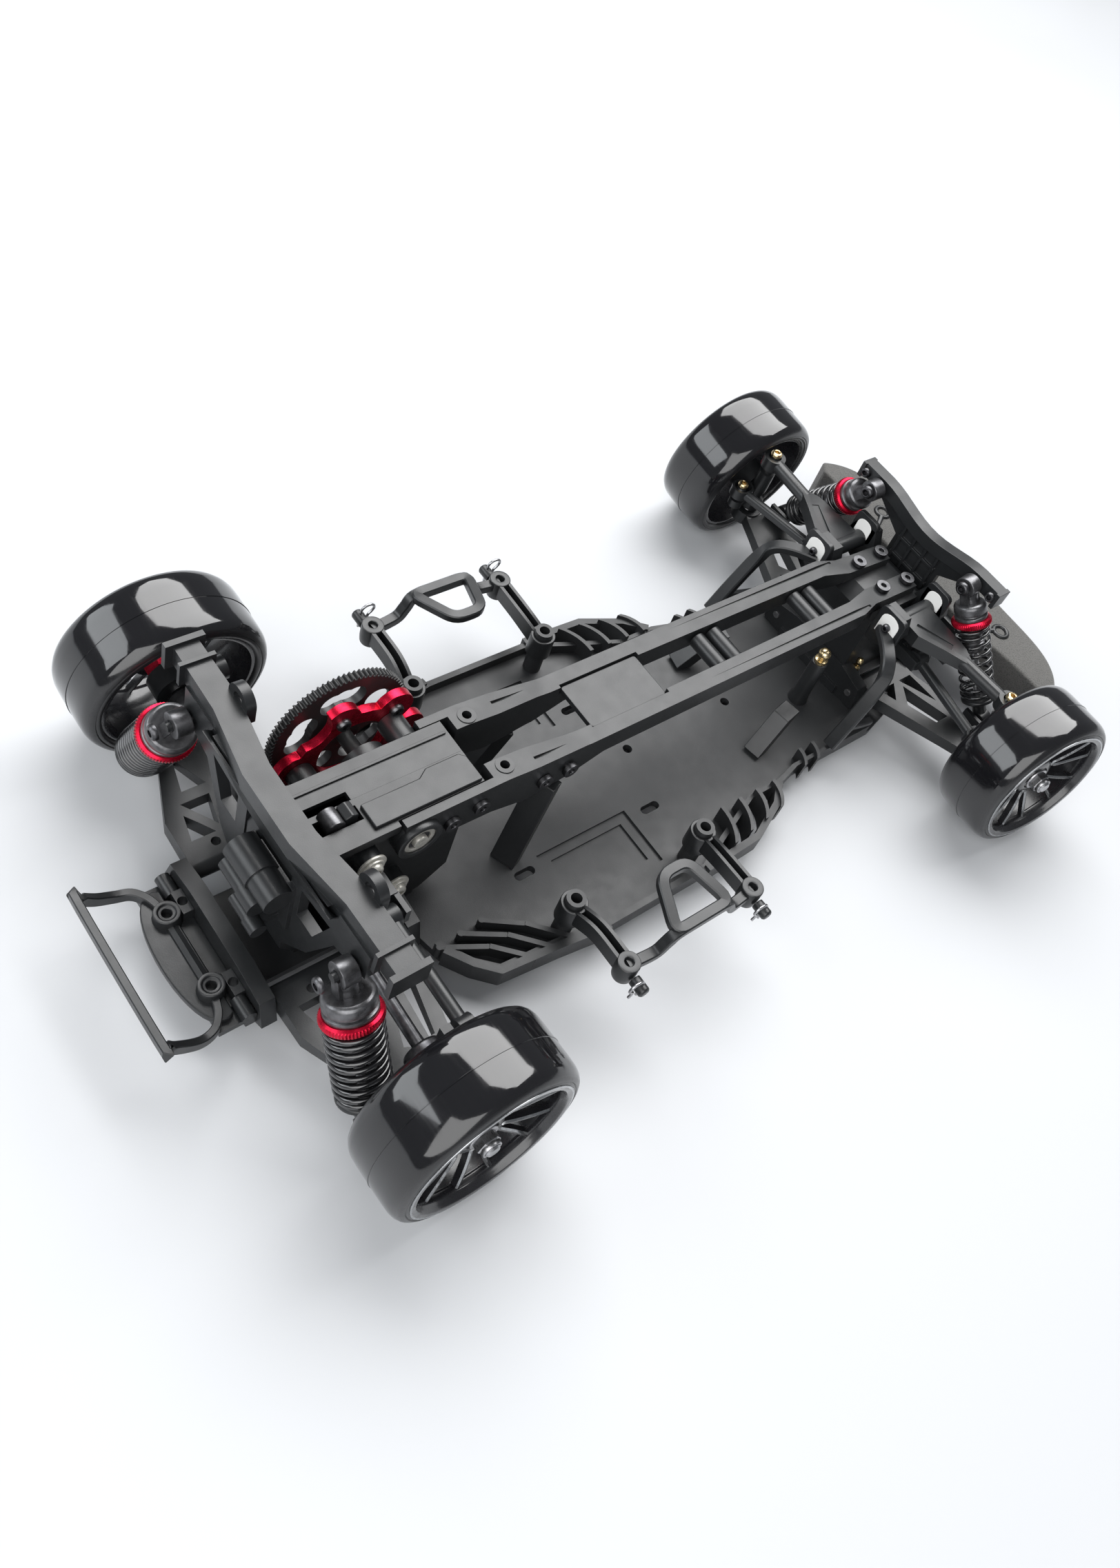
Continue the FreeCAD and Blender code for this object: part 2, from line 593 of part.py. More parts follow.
def foam_bumper():
    """Crescent of dense foam on the nose plate."""
    outer = Part.BSplineCurve()
    outer.interpolate([V(168, 71, 13), V(180, 60, 13), V(184.5, 30, 13), V(186, 0, 13), V(184.5, -30, 13),
                       V(180, -60, 13), V(168, -71, 13)])
    inner = Part.BSplineCurve()
    inner.interpolate([V(164, -66, 13), V(163, -45, 13), V(160.1, -31, 13)])
    inner_left = Part.BSplineCurve()
    inner_left.interpolate([V(160.1, 31, 13), V(163, 45, 13), V(164, 66, 13)])
    edges = [outer.toShape(), Part.makeLine(V(168, -71, 13), V(164, -66, 13)), inner.toShape(),
             Part.makeLine(V(160.1, -31, 13), V(160.1, 31, 13)), inner_left.toShape(),
             Part.makeLine(V(164, 66, 13), V(168, 71, 13))]
    outline = Part.Face(Part.Wire(edges))
    return outline.extrude(V(0, 0, 20))


def front_brace():
    top = V(104.4, 16.5, 50)
    elbow = V(94.2, 34, 45.5)
    foot = V(78, 37, 12.4)
    upper = bar(top, elbow, 6, 4.5)
    knee = ball(elbow, 3.1)
    leg = bar(elbow, foot, 5, 5)
    stay = bar(V(84, 36.4, 20), V(103, 36.4, 12.4), 3, 3)
    return fuse([upper, knee, leg, stay]).common(box(60, 103.3, 14.4, 60, 12.05, 60))


# Side body mounts
def side_mount():
    """Two arms from the deck posts to an outer bar that steps up into a loop."""
    parts = []
    for x in MOUNT_X:
        parts.append(bar(V(x, 50.4, 21), V(x, 70.5, 26.5), 4.6, 6.5))
        parts.append(z_rod(21, 31, x, 73, 4.2))
    steps = [V(-59, 73, 27), V(-46, 74, 30), V(-41, 74, 37), V(-23, 74, 37), V(-18, 74, 30), V(-5, 73, 27)]
    for (a, b), height in zip(zip(steps, steps[1:]), (5, 5, 4.5, 5, 5)):
        parts.append(bar(a, b, 5, height))
    loop = [V(-42, 74, 37), V(-37, 58, 40), V(-26, 58, 40), V(-21.5, 74, 37)]
    parts.append(plank(loop, 4, 4))
    parts += [z_rod(17, 27, x, COLLAR_Y, 4.7) for x in COLLAR_X]
    holes = [z_rod(20, 32, x, 73, SCREW_R) for x in MOUNT_X]
    holes += [z_rod(12, 30, x, COLLAR_Y, POST_R) for x in COLLAR_X]
    return cut(fuse(parts), holes)


def body_clip():
    """R-shaped spring clip and its post on the outer end of a side mount."""
    shapes = []
    for x in MOUNT_X:
        post = y_rod(77.3, 83, x, 26, 2.2)
        post = cut(post, [z_rod(22, 30, x, 80.5, 0.6)])
        wire = fuse([z_rod(21, 31, x, 80.5, 0.55), x_rod(x, x + 6, 80.5, 31, 0.55),
                     ball(V(x, 80.5, 31), 0.55), ball(V(x + 6, 80.5, 31), 0.55),
                     rod(V(x + 6, 80.5, 31), V(x + 3.4, 80.5, 23), 0.55)])
        shapes.append(post)
        shapes.append(wire)
    return shapes


# Wheels, in a frame whose +Y points out along the axle
def wheel_height(camber):
    a = math.radians(camber)
    return TYRE_R * math.cos(a) + TREAD_HALF_W * math.sin(a)


def at_wheel(shape, x, half_track, camber, toe):
    placed = shape.copy()
    placed.rotate(V(0, 0, 0), X_AXIS, camber)
    placed.rotate(V(0, 0, 0), Z_AXIS, toe)
    placed.translate(V(x, half_track, wheel_height(camber)))
    return placed


def turned(profile):
    """A ring turned about the axle from a list of (y, radius) points."""
    section = face([V(0, y, r) for y, r in profile])
    return section.revolve(V(0, 0, 0), Y_AXIS, 360)


def tyre():
    w, r = TYRE_HALF_W, TYRE_R
    corner = [(w - 3.5 * (1 - math.cos(a)), r - 3.5 * (1 - math.sin(a))) for a in
              (0.0, math.pi / 8, math.pi / 4, 3 * math.pi / 8, math.pi / 2)]
    left = [(-y, q) for y, q in corner]
    right = list(reversed(corner))
    return turned([(-w + 1, RIM_R), (-w, RIM_R + 1.1)] + left + right + [(w, RIM_R + 1.1), (w - 1, RIM_R)])


def rim_barrel():
    w = TYRE_HALF_W
    inner = RIM_R - RIM_WALL
    return turned([(-w + 1, inner), (-w + 1, RIM_R), (w - 1, RIM_R), (w, RIM_R + 1.1), (w + 0.3, RIM_R + 1.1),
                   (w + 0.3, inner + 0.4), (w - 2, inner - 0.6), (w - 5, inner)])


def rim_centre(barrel):
    """Hub disc with forked spokes that end on the barrel's inner face."""
    reach = RIM_R - RIM_WALL + 0.3
    shapes = [turned([(2, PIN_R + 1), (2, 8.5), (6.5, 8.5), (8, 6.5), (8, PIN_R + 1)])]
    for i in range(SPOKES):
        for side in (1, -1):
            a = math.radians(i * 360 / SPOKES + side * 9)
            b = math.radians(i * 360 / SPOKES + side * 14)
            start = V(7 * math.sin(a), 5.2, 7 * math.cos(a))
            end = V(reach * math.sin(b), 9.3, reach * math.cos(b))
            shapes.append(spoke(start, end))
    return fuse(shapes).cut(barrel)


def spoke(start, end):
    """Flat spoke from hub to rim: wide across the face, deep along the axle."""
    run = end - start
    across = run.cross(Y_AXIS).normalize() * 1.2
    deep = V(0, 1.8, 0)
    corners = [start + across + deep, start - across + deep, start - across - deep, start + across - deep]
    return face(corners).extrude(run)


def hexagon(radius, y0, y1):
    angles = [math.radians(60 * i) for i in range(6)]
    return prism_xz([(radius * math.cos(a), radius * math.sin(a)) for a in angles], y0, y1)


def axle(inner_end):
    shaft = y_rod(inner_end, 13.4, 0, 0, 2.5)
    drive_hex = hexagon(6, -3.6, 2)
    return fuse([shaft, drive_hex])


def drive_cup():
    cup = y_rod(-22.5, -12.6, 0, 0, 6)
    return cup.cut(y_rod(-23, -14.5, 0, 0, 3.6))


def wheel_nut():
    nut = hexagon(4, 8, 12.6)
    return nut.cut(y_rod(7, 14, 0, 0, 2.5))


# Rear suspension
def rear_arm():
    yi, zi = REAR_ARM_IN
    yo, zo = REAR_ARM_OUT
    plan = [(-150.4, yi), (-107.2, yi), (-107.2, yi + 7), (-115.5, yo), (-115.5, yo + 3), (-141.8, yo + 3),
            (-141.8, yo - 10), (-150.4, yi + 16)]
    side = [(yi, zi - 3.4), (yi, zi + 3.4), (yi + 12, zi + 4), (yo - 9, 17.4), (yo - 4, zo + 1.5),
            (yo, zo + 3.4), (yo + 3, zo + 2), (yo + 3, zo - 2), (yo, zo - 3.4), (yi + 12, zi - 2)]
    plate = prism_xy(plan, 0, 40).common(prism_yz(side, -160, -100))
    boss = x_rod(-150.4, -107.2, yi, zi, 3.4)
    body = fuse([plate, boss])
    fork = box(-136.2, -120.8, yo - 5, yo + 5, 0, 40)
    truss = [prism_xy(p, 0, 40) for p in (
        [(-146.5, 31), (-138.5, 31), (-144.5, 40)],
        [(-143.5, 44), (-136.5, 33), (-134, 44)],
        [(-141, 48), (-133, 48), (-138, 60)],
        [(-129.5, 31), (-121, 31), (-129.5, 52)],
        [(-117.5, 31), (-111.5, 31), (-117.5, 58), (-119.5, 58)],
        [(-127.5, 57), (-122, 40), (-121, 60)])]
    bore = x_rod(-152, -106, yi, zi, PIN_R + RUN)
    droop = z_rod(0, 40, -140.2, 28, SCREW_R)
    pin_hole = x_rod(-143, -114, yo, zo, PIN_R)
    eye = REAR_SHOCK_EYE
    stub = x_rod(-149.6, -141.0, eye.y, eye.z, PIN_R)
    collar = x_rod(-142.6, -139, eye.y, eye.z, 3.2)
    body = fuse([cut(body, [fork, bore, droop, pin_hole] + truss), stub, collar])
    body = cut(body, [pin_hole])
    return [body, x_rod(-141.8, -115.5, yo, zo, PIN_R)]


def rear_hub():
    """Bearing carrier with the lower hinge lug and the upper link horn."""
    carrier = at_wheel(y_rod(-11.5, -4.4, 0, 0, 7.6), REAR_X, REAR_HALF_TRACK, REAR_CAMBER, 0)
    yo, zo = REAR_ARM_OUT
    outer = REAR_LINK_OUT
    lug = x_rod(-135.8, -121.2, yo, zo, 3.4)
    web = box(-134, -123, 74.2, 78, 16.5, 26)
    horn = box(-127.2, -124, 74.2, 79, 34, 46.5)
    reach = box(-127.2, -124, outer.y - 3, 79, 40.5, 46.5)
    link_pin = x_rod(-127.2, outer.x + 2.4, outer.y, outer.z, PIN_R)
    solid = fuse([carrier, lug, web, horn, reach, link_pin])
    bore = at_wheel(y_rod(-30, 0, 0, 0, 2.5 + RUN), REAR_X, REAR_HALF_TRACK, REAR_CAMBER, 0)
    return cut(solid, [bore, x_rod(-137, -120, yo, zo, PIN_R + RUN)])


def rear_link(side):
    """Upper link drawn on the left; its inner end follows the side it is for."""
    inner = REAR_LINK_IN[side]
    outer = REAR_LINK_OUT
    ends = [x_rod(p.x - 2.4, p.x + 2.4, p.y, p.z, r) for p, r in ((inner, 3.6), (outer, 3.9))]
    bores = [x_rod(p.x - 3, p.x + 3, p.y, p.z, PIN_R + gap) for p, gap in ((inner, RUN), (outer, OPEN_PIVOT))]
    return cut(fuse([rod(inner, outer, 2.2)] + ends), bores)


# Shock absorbers, along the line from the top eye to the lower eye
def along(top, eye, s):
    return top + (eye - top).normalize() * s


def shock_body(top, eye, sizes):
    def at(s):
        return along(top, eye, s)
    cap = sizes["cap"]
    head = x_rod(top.x - 2.6, top.x + 2.6, top.y, top.z, 4.2)
    neck = rod(at(1.5), at(9.5), 3)
    barrel = rod(at(15.9), at(27), cap - 2.0)
    outer = [rod(at(sizes["cap_start"]), at(13), cap), rod(at(13), at(16), sizes["ring"]), barrel]
    inner = rod(at(11.5), at(25), cap - 3.0)
    solid = fuse([head, neck] + outer)
    eye_bore = x_rod(top.x - 4, top.x + 4, top.y, top.z, PIN_R + RUN)
    return cut(solid, [inner, rod(at(24), at(28), 1.65), eye_bore])


def shock_shaft(top, eye, sizes):
    length = (eye - top).Length

    def at(s):
        return along(top, eye, s)
    piston = rod(at(19.5), at(21.5), cap_clear(sizes))
    shaft = rod(at(21), at(length - 3), 1.6)
    cup = rod(at(length - 10.5), at(length - 8.5), sizes["spring"] - 0.2)
    seat = rod(at(length - 9), at(length - 2), 2.8)
    end = x_rod(eye.x - 2.6, eye.x + 2.6, eye.y, eye.z, 4)
    solid = fuse([piston, shaft, cup, seat, end])
    return cut(solid, [x_rod(eye.x - 3, eye.x + 3, eye.y, eye.z, PIN_R + OPEN_PIVOT)])


def cap_clear(sizes):
    return sizes["cap"] - 3.15


def shock_spring(top, eye, sizes):
    """Closed sleeve that fills the space of the coil between the ring and the lower cup."""
    length = (eye - top).Length
    start = along(top, eye, 16.1)
    stop = along(top, eye, length - 10.6)
    return rod(start, stop, sizes["spring"]).cut(rod(start, stop, sizes["spring"] - sizes["wall"]))


# Front suspension and steering
def kingpin(s):
    return LOWER_BALL + (UPPER_BALL - LOWER_BALL).normalize() * s


KINGPIN_LENGTH = (UPPER_BALL - LOWER_BALL).Length


def front_lower_arm():
    yi, zi = FRONT_ARM_IN
    plan = [(109, yi), (134, yi), (134, 31), (136.6, 41), (136.6, 62), (133, 70), (125, 70), (121, 60),
            (109, 32)]
    side = [(yi, zi - 3.4), (yi, zi + 3.4), (34, zi + 4), (66, 18.6), (70, 20), (70, 14), (34, zi - 1.5)]
    plate = prism_xy(plan, 0, 40).common(prism_yz(side, 100, 145))
    boss = x_rod(109, 134, yi, zi, 3.4)
    socket = rod(kingpin(-3.4), kingpin(3.0), 6)
    eye = FRONT_SHOCK_EYE
    lift = box(134.2, 135.8, eye.y - 5, eye.y + 5, 15, eye.z + 3)
    stub = x_rod(134.2, 144, eye.y, eye.z, PIN_R)
    truss = [prism_xy(p, 0, 40) for p in (
        [(113, 29), (122, 29), (116, 36)],
        [(125, 29), (132, 29), (132.5, 44)],
        [(119, 40), (124.5, 32), (131, 52), (124, 52)])]
    body = cut(fuse([plate, boss, socket, lift, stub]), truss)
    tools = [x_rod(108, 135, yi, zi, PIN_R + RUN), ball(LOWER_BALL, 3.5 + RUN),
             Part.makeCone(2.2, 4.4, 4, kingpin(1), kingpin(5) - kingpin(1))]
    return cut(body, tools)


def lower_ball_stud():
    return fuse([ball(LOWER_BALL, 3.5), rod(kingpin(1), kingpin(12), PIN_R)])


def knuckle(toe):
    def wheel(shape):
        return at_wheel(shape, FRONT_X, FRONT_HALF_TRACK, FRONT_CAMBER, toe)
    carrier = wheel(y_rod(-13, -4.4, 0, 0, 7.4))
    foot = rod(kingpin(4.4), kingpin(11), 4.2)
    post = rod(kingpin(9), kingpin(KINGPIN_LENGTH - 6), 3.4)
    top = rod(kingpin(KINGPIN_LENGTH - 7), kingpin(KINGPIN_LENGTH - 4.6), 2.2)
    stud = rod(kingpin(KINGPIN_LENGTH - 5), UPPER_BALL, 1.3)
    arm_end = STEER_BALL - V(0, 0, 6)
    arm = bar(kingpin(15) + V(-1, 2, 0), arm_end, 5, 3.4)
    arm_pad = z_rod(arm_end.z - 1.7, arm_end.z + 1.7, arm_end.x, arm_end.y, 3)
    steer_stud = rod(arm_end, STEER_BALL, 1.2)
    solid = fuse([carrier, foot, post, top, stud, ball(UPPER_BALL, BALL_R), arm, arm_pad, steer_stud,
                  ball(STEER_BALL, BALL_R)])
    bores = [wheel(y_rod(-30, 0, 0, 0, 2.5 + RUN)), rod(kingpin(0), kingpin(12.5), PIN_R + RUN)]
    return cut(solid, bores)


def front_upper_arm():
    yi, zi = FRONT_UPPER_IN
    boss = x_rod(110.4, 128.8, yi, zi, 3.5)
    plan = [(111, yi), (126.5, yi), (126.5, 43), (124.8, 48), (121.8, 48), (111, 30)]
    side = [(yi, zi - 3.2), (yi, zi + 3.2), (40, 53), (48, 52), (48, 47.2), (40, 47.4)]
    plate = prism_xy(plan, 30, 70).common(prism_yz(side, 100, 140))
    outer_rod = rod(V(123.4, 46, 49.6), V(UPPER_BALL.x - 0.2, UPPER_BALL.y - 3, UPPER_BALL.z), 2.8)
    socket = rod(UPPER_BALL - V(0, 0, 2.6), UPPER_BALL + V(0, 0, 2.6), 4.5)
    hollow = rod(UPPER_BALL - V(0, 0, 4), UPPER_BALL + V(0, 0, 4), BALL_R + OPEN_PIVOT)
    notch = bar(V(114, 26, zi + 3.2), V(121, 40, zi + 3), 3, 2)
    return cut(fuse([boss, plate, outer_rod, socket]), [hollow, notch, x_rod(109, 130, yi, zi, PIN_R + RUN)])


def tie_rod():
    """Link with a slotted outer cup, so the steering ball can swing fore and aft in it."""
    slot_r = BALL_R + STEER_PLAY
    slots = [rod(STEER_BALL + V(dx, 0, -4), STEER_BALL + V(dx, 0, 4), slot_r) for dx in (0, 0.6, 1.2)]
    shell = [rod(STEER_BALL + V(dx, 0, -2.2), STEER_BALL + V(dx, 0, 2.2), 4.2) for dx in (0, 1.2)]
    inner_cup = rod(RACK_BALL - V(2.4, 0, 0), RACK_BALL + V(2.4, 0, 0), 4)
    body = fuse([rod(RACK_BALL, STEER_BALL, 2.1), inner_cup] + shell)
    return cut(body, slots + [rod(RACK_BALL - V(4, 0, 0), RACK_BALL + V(4, 0, 0), PIN_R + RUN)])


def steering_rack():
    """Sliding bar between the tie rods, with a fork at each end."""
    x, z = RACK_BALL.x, RACK_BALL.z
    bar_half = 24.5
    slide = box(x - 3, x + 3, -bar_half, bar_half, z - 2.6, z + 2.6)
    ends = []
    for s in (1, -1):
        for a in (-5, 2.8):
            y0, y1 = sorted((s * (bar_half - 2), s * (RACK_BALL.y + 2.6)))
            ends.append(box(x + a, x + a + 2.2, y0, y1, z - 2.6, z + 2.6))
        y0, y1 = sorted((s * (bar_half - 2), s * bar_half))
        ends.append(box(x - 5, x + 5, y0, y1, z - 2.6, z + 2.6))
        ends.append(x_rod(x - 5, x + 5, s * RACK_BALL.y, z, PIN_R))
    return fuse([slide] + ends)


# Steel pins, screws and bearings fixed to the chassis
def cap_screw(head, direction, length):
    """Button-head screw; head is the underside centre of the head."""
    shank = rod(head - direction * length, head, SCREW_R)
    top = rod(head, head + direction * 1.7, HEAD_R)
    socket = rod(head + direction * 0.6, head + direction * 1.8, 1.1)
    return cut(fuse([shank, top]), [socket])


def steel_parts():
    shapes = []
    hinges = ((REAR_ARM_IN, -156.0, -101.6), (FRONT_ARM_IN, 102.6, 140.4), (FRONT_UPPER_IN, 103.4, 134.6))
    for (y, z), x0, x1 in hinges:
        shapes += pair(x_rod(x0, x1, y, z, PIN_R))
    for x, y, z in ((111.9, 6.8, 56.05), (126.0, 7.6, 55.25)):
        shapes += pair(cap_screw(V(x, y, z), Z_AXIS, 4))
    shapes += pair(bearing(TOP_SHAFT, 12.5, 15.5, 5, 2.5))
    shapes += pair(bearing(AXLE_SHAFT, 10, 11.9, 8, 6))
    return shapes


def bearing(centre, y0, y1, outer, inner):
    return cut(y_rod(y0, y1, *centre, outer), [y_rod(y0, y1, *centre, inner + RUN)])


def rail_side_screws():
    return [cap_screw(V(x, -15.2, z), V(0, -1, 0), 3) for x, z in RAIL_SCREWS]


def save_wheels(place, x, half_track, camber, toes, spindle):
    barrel = rim_barrel()
    for side, toe in zip(("left", "right"), toes):
        rolling = [at_wheel(s, x, half_track, camber, toe)
                   for s in (barrel, rim_centre(barrel), spindle, wheel_nut())]
        rubber = at_wheel(tyre(), x, half_track, camber, toe)
        if side == "right":
            rolling = [mirrored(s) for s in rolling]
            rubber = mirrored(rubber)
        save("tyre_" + place + "_" + side, [rubber])
        save("rim_" + place + "_" + side, rolling)


def main():
    os.makedirs("parts", exist_ok=True)
    save("chassis_deck", [deck()])
    left_rail = cut(rail(), [box(-115, -86, 12, 18, 40, 63)])
    right_rail = cut(mirrored(rail()), [y_rod(-18.3, -10, x, z, SCREW_R) for x, z in RAIL_SCREWS])
    save("upper_deck_rails", [left_rail, right_rail])
    save("electronics_tray", [tray()])
    save("upper_deck_spacers", deck_spacers())
    save("gearbox_case", [case_left(), case_right()])
    save("motor_plate", [motor_plate()])
    save("spur_gear", [spur()])
    save("idler_gear", [idler()])
    save("rear_spool", [spool()])
    save_pair("drive_shaft", [drive_shaft()])
    save("rear_suspension_block", [rear_block(), link_clevis("left"), mirrored(link_clevis("right"))])
    save("rear_body_beam", [body_beam()])
    save("rear_bumper_bracket", [bumper_bracket()])
    save("rear_bumper", [bumper()])
    save("front_bulkhead", [bulkhead()])
    save("front_arm_bushes", bushes())
    save("front_shock_tower", [front_tower()])
    save("front_bumper_foam", [foam_bumper()])
    save("front_braces", pair(front_brace()))
    save("side_body_mounts", pair(side_mount()))
    clips = body_clip()
    save("body_clips", clips + [mirrored(s) for s in clips])
    save("steel_pins_and_bearings", steel_parts() + rail_side_screws())

    rear_spindle = fuse([axle(-13.5), drive_cup()])
    save_wheels("rear", REAR_X, REAR_HALF_TRACK, REAR_CAMBER, (0, 0), rear_spindle)
    save_wheels("front", FRONT_X, FRONT_HALF_TRACK, FRONT_CAMBER, (TOE_OUT_LEFT, TOE_OUT_RIGHT), axle(-13.4))

    save_pair("rear_lower_arm", rear_arm())
    save_pair("rear_hub", [rear_hub()])
    save("rear_upper_link_left", [rear_link("left")])
    save("rear_upper_link_right", [mirrored(rear_link("right"))])
    for place, top, eye, sizes in (("rear", REAR_SHOCK_TOP, REAR_SHOCK_EYE, REAR_SHOCK),
                                   ("front", FRONT_SHOCK_TOP, FRONT_SHOCK_EYE, FRONT_SHOCK)):
        save_pair(place + "_shock_body", [shock_body(top, eye, sizes)])
        save_pair(place + "_shock_shaft", [shock_shaft(top, eye, sizes)])
        save_pair(place + "_shock_spring", [shock_spring(top, eye, sizes)])
    save_pair("front_lower_arm", [front_lower_arm()])
    save_pair("front_upper_arm", [front_upper_arm()])
    save_pair("front_ball_stud", [lower_ball_stud()])
    save("front_knuckle_left", [knuckle(TOE_OUT_LEFT)])
    save("front_knuckle_right", [mirrored(knuckle(TOE_OUT_RIGHT))])
    save_pair("tie_rod", [tie_rod()])
    save("steering_rack", [steering_rack()])


main()
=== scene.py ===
"""Looks of the drift car chassis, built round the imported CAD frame. Lengths in mm are scaled by MM."""

import json
import math

import bmesh
import bpy
from mathutils import Matrix, Vector


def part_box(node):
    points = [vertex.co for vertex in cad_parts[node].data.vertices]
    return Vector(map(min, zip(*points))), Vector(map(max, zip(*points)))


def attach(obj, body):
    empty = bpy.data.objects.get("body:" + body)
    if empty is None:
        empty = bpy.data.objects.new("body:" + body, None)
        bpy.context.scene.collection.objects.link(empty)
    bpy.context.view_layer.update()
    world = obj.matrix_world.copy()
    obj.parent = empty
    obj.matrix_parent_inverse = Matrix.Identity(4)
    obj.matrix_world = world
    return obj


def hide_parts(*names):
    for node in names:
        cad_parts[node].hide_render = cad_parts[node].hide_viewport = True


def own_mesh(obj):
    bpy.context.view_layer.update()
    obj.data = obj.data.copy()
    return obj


MM = 0.001
SIGN_OF = {"left": 1, "right": -1}
SIDES = tuple(SIGN_OF)
ENDS = ("rear", "front")

# Edge finish of the moulded and machined parts: widths and gaps in mm, angles in degrees
SOFT_EDGE = 0.45
CRISP_EDGE = 0.22
FOAM_EDGE = 1.3
MERGE_GAP = 0.002
FLAT_ANGLE = 0.6
SHARP_ANGLE = 28
FOAM_SHARP_ANGLE = 40
PRISM_SHARP_ANGLE = 24

# How far below the bulkhead's top, or in from the right rail's side, a dark screw can lie, in mm
SCREW_BAND = 4.0

# Wheels, in mm and degrees; the tyre's wall and the rim's seat are depths below the tread
SEAM_RISE = 0.18
WALL_DEPTH = 5.4
SEAT_DEPTH = 5.6
LIP_REACH = 0.3
RIM_WALL = 1.4
SPOKE_PAIRS = 6
SPOKE_W = 1.5
SPOKE_D = 3.0
SPOKE_STEPS = 12
HUB_R = 8.5
APEX_R = 9.4
APEX_ANGLE = 9
FORK_ANGLE = 5
AXLE_INNER_END = -13.4
HEX_R = 6.0
NUT_R = 3.9

# Shock absorbers, in mm along the shock from its top eye
CAP_TOP = 6.5
CAP_END = 13.0
RING_END = 16.0
BARREL_END = 27.0
SHAFT_START = 21.2
RING_STANDS_OUT = 1.3
THREAD_TURNS = 9
THREAD_PITCH = 1.05

# Springs: wire in mm, turns, and the closed turns at each end with their rise in wire widths
WIRE = {"rear": 1.75, "front": 1.4}
COIL_TURNS = {"rear": 9.5, "front": 9.0}
DEAD_TURNS = 0.9
DEAD_PITCH = 1.04

# Gearbox, in mm: bearing in the right boss, and the roller in the window
CASE_RIGHT = -15.5
BEARING_X = -103
BEARING_Z = 53
ROLLER_X = -125.5

# Skirt under the rear beam, in mm
SKIRT_HALF = 33.0
SKIRT_TOP = 70.4
SKIRT_X = -142.3

# Rear bumper's screw bosses, in mm
BUMPER_BOSS_X = -163.5
BUMPER_BOSS_Y = 13.1

# Side mounts and their pins, in mm
CHANNEL = ((-2.4, 3.1), (-1.2, 3.1), (-1.2, -1.9), (1.2, -1.9), (1.2, 3.1), (2.4, 3.1), (2.4, -3.1),
           (-2.4, -3.1))
LOOP_DEPTH = 17
PIN_X = (-59, -5)
PIN_Z = 26
PIN_INNER_END = 77.3
CLIP_Y = 80.5

# Camera: its place in m, its turns in degrees, and its lens and sensor in mm
CAMERA_AT = Vector((-0.262, -0.158, 0.379))
CAMERA_AZIMUTH = 30.81
CAMERA_ELEVATION = 48.56
CAMERA_ROLL = 26.29
CAMERA_LENS = 30.68
CAMERA_SHIFT = (-0.0488, -0.0425)
SENSOR_W = 36

# Stage: half the floor in m, the world's light, and for each lamp its place, size in m, power in W and tint
FLOOR_HALF = 3
WORLD_COLOUR = (0.9, 0.94, 1, 1)
WORLD_STRENGTH = 0.19
LIGHT_AIM = Vector((0, 0, 0.03))
LIGHTS = {
    "key": ((0.55, 0.5, 1.15), (1.7, 1.0), 37, (1, 1, 1)),
    "fill": ((-0.85, -0.55, 0.8), (1.5, 1.1), 17, (1, 1, 1)),
    "side": ((-1.1, 0.75, 0.75), (0.9, 0.7), 8, (0.93, 0.97, 1)),
}

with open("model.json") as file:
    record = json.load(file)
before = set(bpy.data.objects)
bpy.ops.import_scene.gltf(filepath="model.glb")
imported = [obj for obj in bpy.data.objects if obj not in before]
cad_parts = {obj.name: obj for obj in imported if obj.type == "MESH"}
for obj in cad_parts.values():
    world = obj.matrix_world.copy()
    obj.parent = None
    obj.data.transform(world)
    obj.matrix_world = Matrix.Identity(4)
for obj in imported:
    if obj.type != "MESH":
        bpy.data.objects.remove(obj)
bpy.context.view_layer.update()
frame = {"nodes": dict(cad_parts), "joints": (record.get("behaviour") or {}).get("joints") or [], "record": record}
JOINTS = {j["name"]: j for j in frame["joints"]}
BODY_OF = {n: b for b, ns in frame["record"]["behaviour"]["bodies"].items() for n in ns}
SLOT_OF = {p["node"]: p["material_slot"] for p in frame["record"]["subparts"]}
IN_PLACE = Matrix.Identity(4)
UPWARDS = Vector((0, 0, 1))


